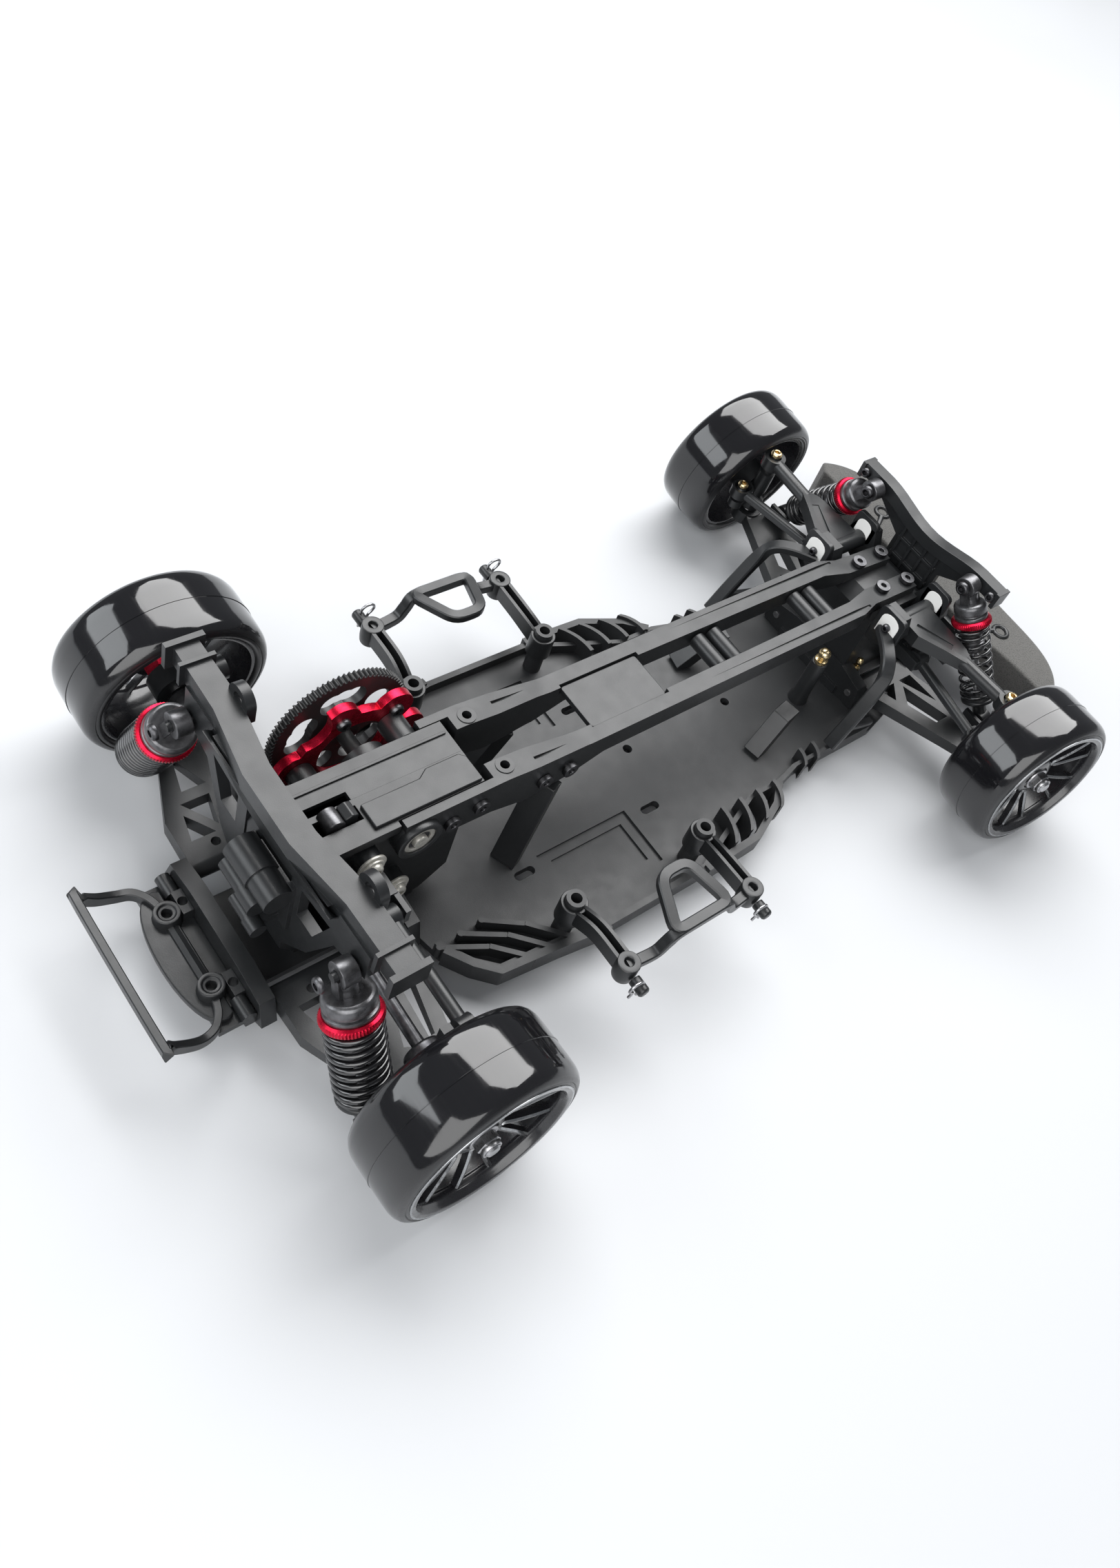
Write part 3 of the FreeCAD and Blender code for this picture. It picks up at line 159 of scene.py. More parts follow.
# Materials
class Shader:
    """A node material with a Principled surface, built up by small calls."""

    def __init__(self, name, colour, roughness, metallic=0.0):
        self.material = bpy.data.materials.new(name)
        self.material.use_nodes = True
        self.nodes = self.material.node_tree.nodes
        self.links = self.material.node_tree.links
        self.surface = self.nodes["Principled BSDF"]
        self.surface.inputs["Base Color"].default_value = (*colour, 1)
        self.surface.inputs["Roughness"].default_value = roughness
        self.surface.inputs["Metallic"].default_value = metallic
        self.where = self.nodes.new("ShaderNodeTexCoord").outputs["Object"]
        self.bump = None

    def node(self, kind, **settings):
        """Add one shader node and set its options."""
        made = self.nodes.new(kind)
        for key, value in settings.items():
            setattr(made, key, value)
        return made

    def noise(self, scale, detail=3.0, rough=0.55, stretch=None):
        """Cloudy noise from 0 to 1, its scale in 1/m."""
        made = self.node("ShaderNodeTexNoise")
        made.inputs["Scale"].default_value = scale
        made.inputs["Detail"].default_value = detail
        made.inputs["Roughness"].default_value = rough
        self.links.new(self.stretched(stretch), made.inputs["Vector"])
        return made.outputs["Fac"]

    def stretched(self, stretch):
        """The piece's own coordinates, scaled apart on each axis if asked."""
        if stretch is None:
            return self.where
        mapping = self.node("ShaderNodeMapping")
        mapping.inputs["Scale"].default_value = stretch
        self.links.new(self.where, mapping.inputs["Vector"])
        return mapping.outputs["Vector"]

    def cells(self, scale):
        """Distance to the nearest of many scattered points."""
        made = self.node("ShaderNodeTexVoronoi")
        made.inputs["Scale"].default_value = scale
        self.links.new(self.where, made.inputs["Vector"])
        return made.outputs["Distance"]

    def ramp(self, value, low, high, start=0.0, end=1.0):
        """Map a 0 to 1 value onto two numbers."""
        made = self.node("ShaderNodeMapRange")
        made.inputs["From Min"].default_value = start
        made.inputs["From Max"].default_value = end
        made.inputs["To Min"].default_value = low
        made.inputs["To Max"].default_value = high
        self.links.new(value, made.inputs["Value"])
        return made.outputs["Result"]

    def colours(self, value, stops):
        """Colour the surface by a 0 to 1 value, through stops of (place, colour)."""
        made = self.node("ShaderNodeValToRGB")
        elements = made.color_ramp.elements
        while len(elements) < len(stops):
            elements.new(0.5)
        for element, (place, colour) in zip(elements, stops):
            element.position = place
            element.color = (*colour, 1)
        self.links.new(value, made.inputs["Fac"])
        self.links.new(made.outputs["Color"], self.surface.inputs["Base Color"])

    def rough(self, value, low, high):
        """Vary the roughness between two numbers by a noise."""
        self.links.new(self.ramp(value, low, high, 0.3, 0.7), self.surface.inputs["Roughness"])

    def raise_by(self, value, height, strength):
        """Stack one more layer of bump, its height in mm."""
        made = self.node("ShaderNodeBump")
        made.inputs["Strength"].default_value = strength
        made.inputs["Distance"].default_value = height * MM
        self.links.new(value, made.inputs["Height"])
        if self.bump is not None:
            self.links.new(self.bump, made.inputs["Normal"])
        self.bump = made.outputs["Normal"]
        self.links.new(self.bump, self.surface.inputs["Normal"])


def moulded(name, dark, light, roughness, grain=0.05):
    """Glass-filled plastic: fine grain, faint flow clouds and uneven sheen."""
    s = Shader(name, dark, roughness)
    clouds = s.noise(38, 4, 0.6)
    s.colours(clouds, [(0.25, dark), (0.75, light)])
    s.rough(s.noise(160, 3), roughness - 0.03, roughness + 0.05)
    s.raise_by(s.noise(2600, 3, 0.7), grain, 0.5)
    s.raise_by(s.noise(420, 2), grain * 1.2, 0.18)
    s.surface.inputs["Specular IOR Level"].default_value = 0.5
    return s.material


def tyre_compound():
    """Hard polished compound: mirror tread with hairline scuffs, and a duller sidewall."""
    wall_end, tread_start = 28.8 * MM, 30.2 * MM
    s = Shader("tyre_compound", (0.006, 0.006, 0.007), 0.1)
    split = s.node("ShaderNodeSeparateXYZ")
    s.links.new(s.where, split.inputs["Vector"])
    flat = s.node("ShaderNodeCombineXYZ")
    s.links.new(split.outputs["X"], flat.inputs["X"])
    s.links.new(split.outputs["Z"], flat.inputs["Z"])
    radius = s.node("ShaderNodeVectorMath", operation="LENGTH")
    s.links.new(flat.outputs["Vector"], radius.inputs[0])
    wall = s.ramp(radius.outputs["Value"], 1.0, 0.0, wall_end, tread_start)
    scuffs = s.noise(900, 4, 0.7, (1, 0.06, 1))
    dull = s.node("ShaderNodeMath", operation="MULTIPLY_ADD")
    s.links.new(wall, dull.inputs[0])
    dull.inputs[1].default_value = 0.3
    s.links.new(s.ramp(scuffs, 0.06, 0.16, 0.35, 0.75), dull.inputs[2])
    s.links.new(dull.outputs["Value"], s.surface.inputs["Roughness"])
    s.raise_by(scuffs, 0.012, 0.25)
    s.raise_by(s.noise(60, 2), 0.12, 0.06)
    s.surface.inputs["Coat Weight"].default_value = 0.35
    s.surface.inputs["Coat Roughness"].default_value = 0.04
    return s.material


def rim_black():
    """Glossy black rim plastic."""
    s = Shader("rim_black", (0.012, 0.012, 0.014), 0.26)
    s.rough(s.noise(240, 3), 0.2, 0.36)
    s.raise_by(s.noise(1800, 2), 0.02, 0.3)
    s.surface.inputs["Coat Weight"].default_value = 0.5
    s.surface.inputs["Coat Roughness"].default_value = 0.12
    return s.material


def polished_edge():
    """Bright cut metal of the spokes' edges and the lip."""
    s = Shader("polished_edge", (0.4, 0.41, 0.42), 0.2, 0.9)
    s.rough(s.noise(500, 3), 0.14, 0.34)
    s.colours(s.noise(160, 3), [(0.3, (0.3, 0.31, 0.32)), (0.7, (0.46, 0.47, 0.48))])
    return s.material


def anodised(name, dark, light, roughness):
    """Dyed aluminium with a fine turned grain."""
    s = Shader(name, dark, roughness, 0.9)
    s.colours(s.noise(300, 3), [(0.35, dark), (0.65, light)])
    s.rough(s.noise(900, 3, 0.6, (1, 12, 1)), roughness - 0.08, roughness + 0.1)
    s.raise_by(s.noise(1500, 2, 0.6, (1, 8, 1)), 0.012, 0.3)
    return s.material


def bare_steel(name, dark, light, roughness, metallic=1.0):
    """Uncoated metal with a brushed grain."""
    s = Shader(name, dark, roughness, metallic)
    s.colours(s.noise(420, 4), [(0.3, dark), (0.7, light)])
    s.rough(s.noise(1300, 4, 0.7, (6, 1, 1)), roughness - 0.08, roughness + 0.14)
    s.raise_by(s.noise(2200, 2, 0.6, (8, 1, 1)), 0.01, 0.25)
    return s.material


def spring_paint():
    """Glossy black paint on spring wire."""
    s = Shader("spring_paint", (0.008, 0.008, 0.009), 0.18)
    s.rough(s.noise(700, 3), 0.12, 0.28)
    s.raise_by(s.noise(1100, 2), 0.03, 0.2)
    s.surface.inputs["Coat Weight"].default_value = 0.8
    s.surface.inputs["Coat Roughness"].default_value = 0.06
    return s.material


def closed_foam():
    """Dense grey-black foam with open pores on its cut faces, painted darker at the bottom of each pore as painted
    shade.
    """
    s = Shader("closed_foam", (0.05, 0.049, 0.046), 0.92)
    pores = s.cells(1500)
    # Painted shade: the pits of the pores, where the bump dips, are painted darker
    s.colours(pores, [(0.05, (0.03, 0.029, 0.027)), (0.5, (0.082, 0.08, 0.075))])
    s.raise_by(pores, 0.22, 0.5)
    s.raise_by(s.noise(220, 4, 0.7), 0.3, 0.22)
    s.surface.inputs["Sheen Weight"].default_value = 0.25
    s.surface.inputs["Sheen Roughness"].default_value = 0.6
    return s.material


def pale_floor():
    """Plain pale studio floor."""
    s = Shader("pale_floor", (0.49, 0.5, 0.515), 0.6)
    s.rough(s.noise(6, 3), 0.55, 0.68)
    return s.material


PAINT = {
    "composite": moulded("composite", (0.0108, 0.0117, 0.0127), (0.0145, 0.0155, 0.0166), 0.33),
    "deck_composite": moulded("deck_composite", (0.0155, 0.0165, 0.0175), (0.021, 0.022, 0.0235), 0.46, 0.07),
    "tyre_compound": tyre_compound(),
    "rim_plastic": rim_black(),
    "red_aluminium": anodised("red_aluminium", (0.42, 0.004, 0.022), (0.62, 0.012, 0.045), 0.3),
    "black_aluminium": anodised("black_aluminium", (0.09, 0.09, 0.094), (0.17, 0.17, 0.177), 0.34),
    "gear_plastic": moulded("gear_plastic", (0.01, 0.01, 0.0105), (0.016, 0.016, 0.0165), 0.42, 0.03),
    "steel": bare_steel("steel", (0.32, 0.32, 0.33), (0.5, 0.5, 0.51), 0.3),
    "dark_steel": bare_steel("dark_steel", (0.06, 0.06, 0.065), (0.13, 0.13, 0.135), 0.34),
    # Painted light: a paler, less metallic copy of steel, so the bearing rings and the gearbox screws with their
    # washers look lit on faces turned away from the lamps
    "painted_lit_steel": bare_steel("painted_lit_steel", (0.42, 0.41, 0.37), (0.62, 0.6, 0.55), 0.36, 0.55),
    "spring_steel": spring_paint(),
    "white_nylon": moulded("white_nylon", (0.72, 0.72, 0.7), (0.82, 0.82, 0.8), 0.38, 0.03),
    "foam": closed_foam(),
    "polished_edge": polished_edge(),
    "gold": bare_steel("gold", (0.6, 0.45, 0.22), (0.78, 0.64, 0.4), 0.24),
}


# Mesh helpers. Points are in mm and local to the piece.
def piece(name, bm, matrix, materials, body, smooth=35):
    """Turn a built mesh into an object on a body; edges sharper than smooth, in degrees, stay hard."""
    bmesh.ops.recalc_face_normals(bm, faces=bm.faces)
    bmesh.ops.scale(bm, vec=(MM, MM, MM), verts=bm.verts)
    mesh = bpy.data.meshes.new(name)
    bm.to_mesh(mesh)
    bm.free()
    for material in materials:
        mesh.materials.append(material)
    mesh.polygons.foreach_set("use_smooth", [True] * len(mesh.polygons))
    mesh.set_sharp_from_angle(angle=math.radians(smooth))
    made = bpy.data.objects.new(name, mesh)
    bpy.context.scene.collection.objects.link(made)
    made.matrix_world = matrix
    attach(made, body)
    return made


def node_piece(name, node, bm, matrix, paint, smooth=35, stands_in=False):
    """A piece in one paint on a CAD node's body; it can stand in for the node's own mesh."""
    made = piece(name, bm, matrix, [PAINT[paint]], BODY_OF[node], smooth)
    if stands_in:
        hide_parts(node)
    return made


def chassis_piece(name, bm, matrix, paint, smooth=30):
    """A small piece on the chassis that has no CAD node."""
    made = piece(name, bm, matrix, [PAINT[paint]], "chassis", smooth)
    return made


def weighted(obj):
    """Let the large faces set the shading next to small bevels."""
    modifier = obj.modifiers.new("weighted", "WEIGHTED_NORMAL")
    modifier.keep_sharp = True
    modifier.weight = 80


def on_axis(axis, c, s, h):
    """A point at (c, s) across an axis and h along it."""
    return {"Z": (c, s, h), "Y": (s, h, c), "X": (h, c, s)}[axis]


def join_rings(bm, here, there):
    """Faces between two closed rings of as many points."""
    count = len(here)
    made = []
    for k in range(count):
        after = (k + 1) % count
        made.append(bm.faces.new((here[k], here[after], there[after], there[k])))
    return made


def lathe(bm, profile, axis, segments, ripple=None):
    """Turn a closed profile of (radius, height) round an axis; ripple(point, angle) adds to the radius."""
    rings = []
    for i in range(segments):
        a = 2 * math.pi * i / segments
        ring = []
        for k, (r, h) in enumerate(profile):
            r += ripple(k, a) if ripple else 0
            ring.append(bm.verts.new(on_axis(axis, r * math.cos(a), r * math.sin(a), h)))
        rings.append(ring)
    for i in range(segments):
        join_rings(bm, rings[i], rings[(i + 1) % segments])
    return rings


def turned_at(bm, profile, at, axis="Z", segments=40):
    """Turn a profile round an axis through a point."""
    for ring in lathe(bm, profile, axis, segments):
        for v in ring:
            v.co += at


def rounded(profile, r, steps=3):
    """Round the corners of a closed profile by cutting each with a short arc."""
    out = []
    count = len(profile)
    for i, p in enumerate(profile):
        before, here, after = Vector(profile[i - 1]), Vector(p), Vector(profile[(i + 1) % count])
        back = before - here
        ahead = after - here
        cut = min(r, back.length * 0.45, ahead.length * 0.45)
        start = here + back.normalized() * cut
        end = here + ahead.normalized() * cut
        for s in range(steps + 1):
            t = s / steps
            out.append(tuple(start * (1 - t) ** 2 + here * 2 * t * (1 - t) + end * t * t))
    return out


def octagon(w, d, c):
    """Section of a bar from half its width, half its depth and the cut of its corners."""
    right = [(w - c, d), (w, d - c), (w, c - d), (w - c, -d)]
    return [(c - w, d)] + right + [(c - w, -d), (-w, c - d), (-w, d - c)]


def sweep(bm, path, section, up, edge_material=0, closed=False):
    """Carry a section of (across, up) points along a path, with flat end caps unless it is closed.

    Every second face of the section takes edge_material.
    """
    rings = []
    for i, p in enumerate(path):
        before = path[i - 1] if closed or i > 0 else p
        after = path[(i + 1) % len(path)] if closed or i < len(path) - 1 else p
        run = (after - before).normalized()
        across = run.cross(up).normalized()
        lift = across.cross(run).normalized()
        rings.append([bm.verts.new(p + across * a + lift * b) for a, b in section])
    following = rings[1:] + rings[:1] if closed else rings[1:]
    for here, there in zip(rings, following):
        for face in join_rings(bm, here, there)[1::2]:
            face.material_index = edge_material
    if not closed:
        bm.faces.new(rings[0])
        bm.faces.new(list(reversed(rings[-1])))


def tube(bm, path, r, sides):
    """Round wire along a path, its frame carried along without twist."""
    normal = (path[1] - path[0]).orthogonal().normalized()
    rings = []
    for i, p in enumerate(path):
        run = (path[min(i + 1, len(path) - 1)] - path[max(i - 1, 0)]).normalized()
        normal = (normal - run * normal.dot(run)).normalized()
        side = run.cross(normal)
        ring = []
        for k in range(sides):
            a = 2 * math.pi * k / sides
            ring.append(bm.verts.new(p + normal * (r * math.cos(a)) + side * (r * math.sin(a))))
        rings.append(ring)
    for here, there in zip(rings, rings[1:]):
        join_rings(bm, here, there)
    bm.faces.new(rings[0])
    bm.faces.new(list(reversed(rings[-1])))


def smooth_path(points, steps):
    """Catmull-Rom curve through the points."""
    ends = [points[0] * 2 - points[1]] + points + [points[-1] * 2 - points[-2]]
    path = []
    for a, b, c, d in zip(ends, ends[1:], ends[2:], ends[3:]):
        for i in range(steps):
            t = i / steps
            bend = a * 2 - b * 5 + c * 4 - d
            twist = b * 3 - a - c * 3 + d
            path.append((b * 2 + (c - a) * t + bend * t ** 2 + twist * t ** 3) / 2)
    path.append(points[-1])
    return path


def smooth_run(points, sign, steps):
    """Smooth curve through points given for the left side; sign -1 mirrors it to the right."""
    return smooth_path([Vector((x, sign * y, z)) for x, y, z in points], steps)


def facing(origin, y_axis=None, z_axis=None, x_axis=None):
    """A placing matrix from an origin and two of its axes; the first given one is exact."""
    if y_axis is not None:
        y = y_axis.normalized()
        x = y.cross(UPWARDS).normalized()
        z = x.cross(y)
    else:
        z = z_axis.normalized()
        y = z.cross(x_axis or Vector((1, 0, 0))).normalized()
        x = y.cross(z)
    turn = Matrix((x, y, z)).transposed().to_4x4()
    return Matrix.Translation(origin) @ turn


def moved(x, y, z):
    """A placing matrix at a point in mm."""
    return Matrix.Translation(Vector((x, y, z)) * MM)


def extent_in(node, matrix):
    """Lowest and highest corner of a CAD node in a piece's own frame, in mm."""
    inverse = matrix.inverted()
    points = [inverse @ v.co / MM for v in frame["nodes"][node].data.vertices]
    lo = Vector(min(p[i] for p in points) for i in range(3))
    hi = Vector(max(p[i] for p in points) for i in range(3))
    return lo, hi


# CAD nodes whose shape stays, given softened edges
def cad_mesh(node):
    """A copy of a CAD node's mesh in mm, with its flats merged."""
    bm = bmesh.new()
    bm.from_mesh(frame["nodes"][node].data)
    bmesh.ops.scale(bm, vec=(1 / MM, 1 / MM, 1 / MM), verts=bm.verts)
    bmesh.ops.remove_doubles(bm, verts=bm.verts, dist=MERGE_GAP)
    bmesh.ops.dissolve_limit(bm, angle_limit=math.radians(FLAT_ANGLE), verts=bm.verts, edges=bm.edges)
    return bm


def round_edges(bm, sharper_than, width, segments, profile=0.55):
    """Round the edges that turn by more than an angle in degrees."""
    limit = math.radians(sharper_than)
    sharp = [e for e in bm.edges if e.is_manifold and e.calc_face_angle(0) > limit]
    bmesh.ops.bevel(bm, geom=sharp, offset=width, segments=segments, profile=profile, affect="EDGES",
                    clamp_overlap=True)


def finished(node, edge):
    """A copy of a CAD node's mesh with its sharp edges rounded."""
    bm = cad_mesh(node)
    round_edges(bm, SHARP_ANGLE, edge, 2)
    made = node_piece(node + ".finished", node, bm, IN_PLACE, SLOT_OF[node], stands_in=True)
    weighted(made)
    return made


def darken_screws(pins):
    """Screws on the front bulkhead and along the right rail are dark, unlike the node's pins and bearings."""
    pins.data.materials.append(PAINT["dark_steel"])
    bulkhead_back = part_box("front_bulkhead")[0].x
    screw_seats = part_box("front_bulkhead")[1].z - SCREW_BAND * MM
    rail_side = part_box("upper_deck_rails")[0].y + SCREW_BAND * MM
    rail_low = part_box("upper_deck_rails")[0].z
    for face in pins.data.polygons:
        at = face.center
        on_bulkhead = at.x > bulkhead_back and at.z > screw_seats
        on_rail = at.x < 0 and at.y < rail_side and at.z > rail_low
        if on_bulkhead or on_rail:
            face.material_index = 1


SOFT_NODES = ("chassis_deck", "upper_deck_rails", "electronics_tray", "upper_deck_spacers", "gearbox_case",
              "rear_suspension_block", "rear_body_beam", "rear_bumper_bracket", "front_bulkhead",
              "front_shock_tower", "front_arm_bushes", "steering_rack")
PAIRED_SOFT = ("rear_lower_arm", "rear_hub", "rear_upper_link", "front_lower_arm", "front_upper_arm",
               "front_knuckle", "tie_rod")
CRISP_NODES = ("motor_plate", "spur_gear", "idler_gear", "rear_spool")
PAIRED_CRISP = ("drive_shaft", "front_ball_stud")


def finish_cad_parts():
    """Round the edges of every CAD node that keeps its shape."""
    for node in SOFT_NODES:
        finished(node, SOFT_EDGE)
    for node in CRISP_NODES:
        finished(node, CRISP_EDGE)
    darken_screws(finished("steel_pins_and_bearings", CRISP_EDGE))
    for side in SIDES:
        for node in PAIRED_SOFT:
            finished(node + "_" + side, SOFT_EDGE)
        for node in PAIRED_CRISP:
            finished(node + "_" + side, CRISP_EDGE)


# Wheels
def wheel_frame(end, side):
    """A wheel's own frame: its centre, with Y pointing outwards along the axle."""
    joint = JOINTS[end + "_wheel_spin_" + side]
    centre = Vector(joint["pos_m"])
    axis = Vector(joint["axis"])
    return facing(centre, y_axis=axis if axis.y * centre.y > 0 else -axis)


def tyre(end, side):
    """Slick tyre with a seam round its middle and grooves in its sidewalls."""
    node = "tyre_" + end + "_" + side
    matrix = wheel_frame(end, side)
    reach = extent_in(node, matrix)[1]
    r = reach.z - SEAM_RISE
    w = reach.y
    bead = r - WALL_DEPTH
    seam = [(r + SEAM_RISE, 0.12), (r, 0.2), (r, 0.35)]
    shoulder = [(r, w * 0.45), (r - 0.12, w - 4.2), (r - 0.5, w - 2.6), (r - 1.3, w - 1.2),
                (r - 2.4, w - 0.35)]
    wall = [(r - 3.1, w - 0.12), (r - 3.4, w - 0.4), (r - 3.7, w - 0.12), (r - 4.4, w - 0.02)]
    half = seam + shoulder + wall + [(bead + 0.5, w - 0.25), (bead, w - 0.9), (bead, 2)]
    profile = half + [(q, -y) for q, y in reversed(half)]
    bm = bmesh.new()
    lathe(bm, profile, "Y", 120)
    node_piece(node + ".tread", node, bm, matrix, "tyre_compound", 50, stands_in=True)


def hairpin(bm, middle, rim_r, hub_y, lip_y):
    """One looped spoke: out from the rim, round an apex by the hub, and back to the rim."""
    path = []
    bend, apex_dip, dish = 0.25, 1.9, 0.8
    for s in range(-SPOKE_STEPS, SPOKE_STEPS + 1):
        share = abs(s) / SPOKE_STEPS
        if share < bend:
            turn = share / bend
            r = APEX_R - apex_dip * (1 - turn) ** 2
            angle = APEX_ANGLE * turn
        else:
            out = (share - bend) / (1 - bend)
            r = APEX_R + (rim_r - APEX_R) * out
            angle = APEX_ANGLE + FORK_ANGLE * out
        a = math.radians(middle + math.copysign(angle, s))
        y = hub_y + (lip_y - hub_y) * max(0.0, (r - HUB_R) / (rim_r - HUB_R)) ** dish
        path.append(Vector((r * math.sin(a), y, r * math.cos(a))))
    sweep(bm, path, octagon(SPOKE_W / 2, SPOKE_D / 2, 0.5), Vector((0, 1, 0)), edge_material=1)


def rim_barrel(bm, in_r, out_r, lip):
    """Rim wall from its inner edge to the flared lip."""
    wall = [(in_r, 1.3 - lip), (out_r, 1.3 - lip), (out_r, lip - 1.4)]
    flare = [(out_r + 1.1, lip - 0.5), (out_r + 1.1, lip), (out_r + 0.6, lip)]
    dish = [(in_r + 0.5, lip - 0.1), (in_r - 0.1, lip - 1.6), (in_r - 0.5, lip - 2.4),
            (in_r - 0.5, lip - 4.5), (in_r, lip - 5)]
    lathe(bm, rounded(wall + flare + dish, 0.3, 2), "Y", 96)


def rim(end, side):
    """Rim with looped spokes, a bright lip, and the axle and nut in its middle."""
    node = "rim_" + end + "_" + side
    matrix = wheel_frame(end, side)
    tyre_reach = extent_in("tyre_" + end + "_" + side, matrix)[1]
    lip = tyre_reach.y + LIP_REACH
    out_r = tyre_reach.z - SEAT_DEPTH
    in_r = out_r - RIM_WALL
    bm = bmesh.new()
    rim_barrel(bm, in_r, out_r, lip)
    hub = [(2.6, 2.2), (HUB_R, 2.2), (HUB_R, 6.3), (HUB_R - 1, 7.4), (5.4, 7.9), (5.0, 6.9), (2.6, 6.9)]
    lathe(bm, rounded(hub, 0.35, 2), "Y", 48)
    for i in range(SPOKE_PAIRS):
        hairpin(bm, i * 360 / SPOKE_PAIRS, in_r + 0.3, 5.6, lip - 4.2)
    paints = [PAINT["rim_plastic"], PAINT["polished_edge"]]
    made = piece(node + ".wheel", bm, matrix, paints, BODY_OF[node], 40)
    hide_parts(node)
    lip_ring(node, matrix, out_r, lip)
    spindle(node, end, matrix)


def lip_ring(node, matrix, out_r, lip):
    """Bright machined edge of the rim lip."""
    bm = bmesh.new()
    inner, outer = out_r + 0.5, out_r + 1.15
    ring = [(inner, lip - 0.35), (outer, lip - 0.35), (outer, lip + 0.02), (inner, lip + 0.04)]
    lathe(bm, rounded(ring, 0.12, 2), "Y", 96)
    node_piece(node + ".lip", node, bm, matrix, "polished_edge")


def six_points(r):
    """Corners of a hexagon of corner radius r, as pairs."""
    return [(r * math.cos(math.pi * k / 3), r * math.sin(math.pi * k / 3)) for k in range(6)]


def hexagon(bm, r, y0, y1, chamfer):
    """Chamfered hexagonal bar along Y."""
    levels = ((r - chamfer, y0), (r, y0 + chamfer), (r, y1 - chamfer), (r - chamfer, y1))
    rings = [[bm.verts.new((a, y, b)) for a, b in six_points(q)] for q, y in levels]
    for here, there in zip(rings, rings[1:]):
        join_rings(bm, here, there)
    for ring in (rings[0], rings[-1]):
        bm.faces.new(ring)


def spindle(node, end, matrix):
    """Axle, red drive hex and flanged lock nut."""
    tip = extent_in(node, matrix)[1].y - 0.2
    bm = bmesh.new()
    axle = [(0.01, AXLE_INNER_END), (2.45, AXLE_INNER_END), (2.45, tip - 0.6), (1.9, tip), (0.01, tip)]
    lathe(bm, axle, "Y", 32)
    node_piece(node + ".axle", node, bm, matrix, "steel")
    bm = bmesh.new()
    hexagon(bm, HEX_R, -3.6, 2.0, 0.5)
    node_piece(node + ".hex", node, bm, matrix, "red_aluminium", 20)
    bm = bmesh.new()
    hexagon(bm, NUT_R, 8.3, 11.2, 0.4)
    lathe(bm, rounded([(2.5, 11.0), (3.3, 11.0), (3.1, 12.5), (2.5, 12.5)], 0.3, 2), "Y", 32)
    lathe(bm, rounded([(2.6, 7.9), (4.9, 7.9), (4.7, 8.5), (2.6, 8.5)], 0.2, 2), "Y", 32)
    node_piece(node + ".nut", node, bm, matrix, "steel", 25)
    if end == "rear":
        drive_cup(node, matrix)


def drive_cup(node, matrix):
    """Cup on the inner end of a rear axle, open towards the drive shaft."""
    bm = bmesh.new()
    outside = [(3.6, -22.4), (5.4, -22.4), (6.0, -21.6), (6.0, -14.4), (4.6, -12.8)]
    bore = [(2.5, -12.8), (2.5, -14.6), (3.6, -14.6)]
    lathe(bm, rounded(outside + bore, 0.25, 2), "Y", 40)
    node_piece(node + ".cup", node, bm, matrix, "dark_steel")


# Shock absorbers
def shock_frame(end, side):
    """A shock's own frame: its top eye, with Z pointing down the shaft."""
    tilt = JOINTS[end + "_shock_tilt_" + side]
    slide = JOINTS[end + "_shock_slide_" + side]
    return facing(Vector(tilt["pos_m"]), z_axis=Vector(slide["axis"]))


def eye(bm, z, r, half, bore):
    """Ring of a ball end, bored along X."""
    ring = rounded([(bore, -half), (r, -half), (r, half), (bore, half)], 0.4, 3)
    turned_at(bm, ring, Vector((0, 0, z)), "X")


def knurl(depth, teeth, keys):
    """Ripple for the given profile points only."""
    return lambda k, a: depth * math.cos(teeth * a) if k in keys else 0.0


def shock_cap(node, matrix, cap):
    """Top cap of radius cap with its eye, two ribs and a groove."""
    bm = bmesh.new()
    eye(bm, 0, 4.15, 2.55, 1.55)
    neck = [(0.01, 2.5), (3.3, 2.5), (3.0, 4.6), (3.3, CAP_TOP + 0.6), (0.01, CAP_TOP + 0.6)]
    lathe(bm, rounded(neck, 0.4, 2), "Z", 32)
    for s in (1, -1):
        rib = [Vector((s * 2.6, 0, 1.0)), Vector((s * 3.0, 0, CAP_TOP + 0.3))]
        sweep(bm, rib, [(-1.9, 0.7), (1.9, 0.7), (1.9, -0.7), (-1.9, -0.7)], Vector((1, 0, 0)))
    dome = [(3.0, CAP_TOP), (cap - 1.3, CAP_TOP), (cap - 0.5, CAP_TOP + 0.5), (cap - 0.1, CAP_TOP + 1.4)]
    groove = [(cap - 0.1, 10.4), (cap - 0.9, 10.7), (cap - 0.9, 11.3), (cap - 0.05, 11.6)]
    lathe(bm, rounded(dome + groove + [(cap - 0.05, CAP_END), (3.0, CAP_END)], 0.25, 2), "Z", 72)
    node_piece(node + ".cap", node, bm, matrix, "black_aluminium", 30, stands_in=True)


def shock_ring(node, matrix, ring_r, cap):
    """Red spring adjuster, knurled round its edge."""
    bm = bmesh.new()
    inner = cap - 2.2
    face, slope, grip = ring_r - 1.1, ring_r - 0.35, ring_r - 0.15
    top = [(inner, CAP_END), (face, CAP_END), (slope, CAP_END + 0.45), (grip, CAP_END + 0.9)]
    bottom = [(grip, RING_END - 0.9), (slope, RING_END - 0.45), (face, RING_END), (inner, RING_END)]
    lathe(bm, top + bottom, "Z", 240, knurl(0.14, 60, (3, 4)))
    node_piece(node + ".ring", node, bm, matrix, "red_aluminium", 24)


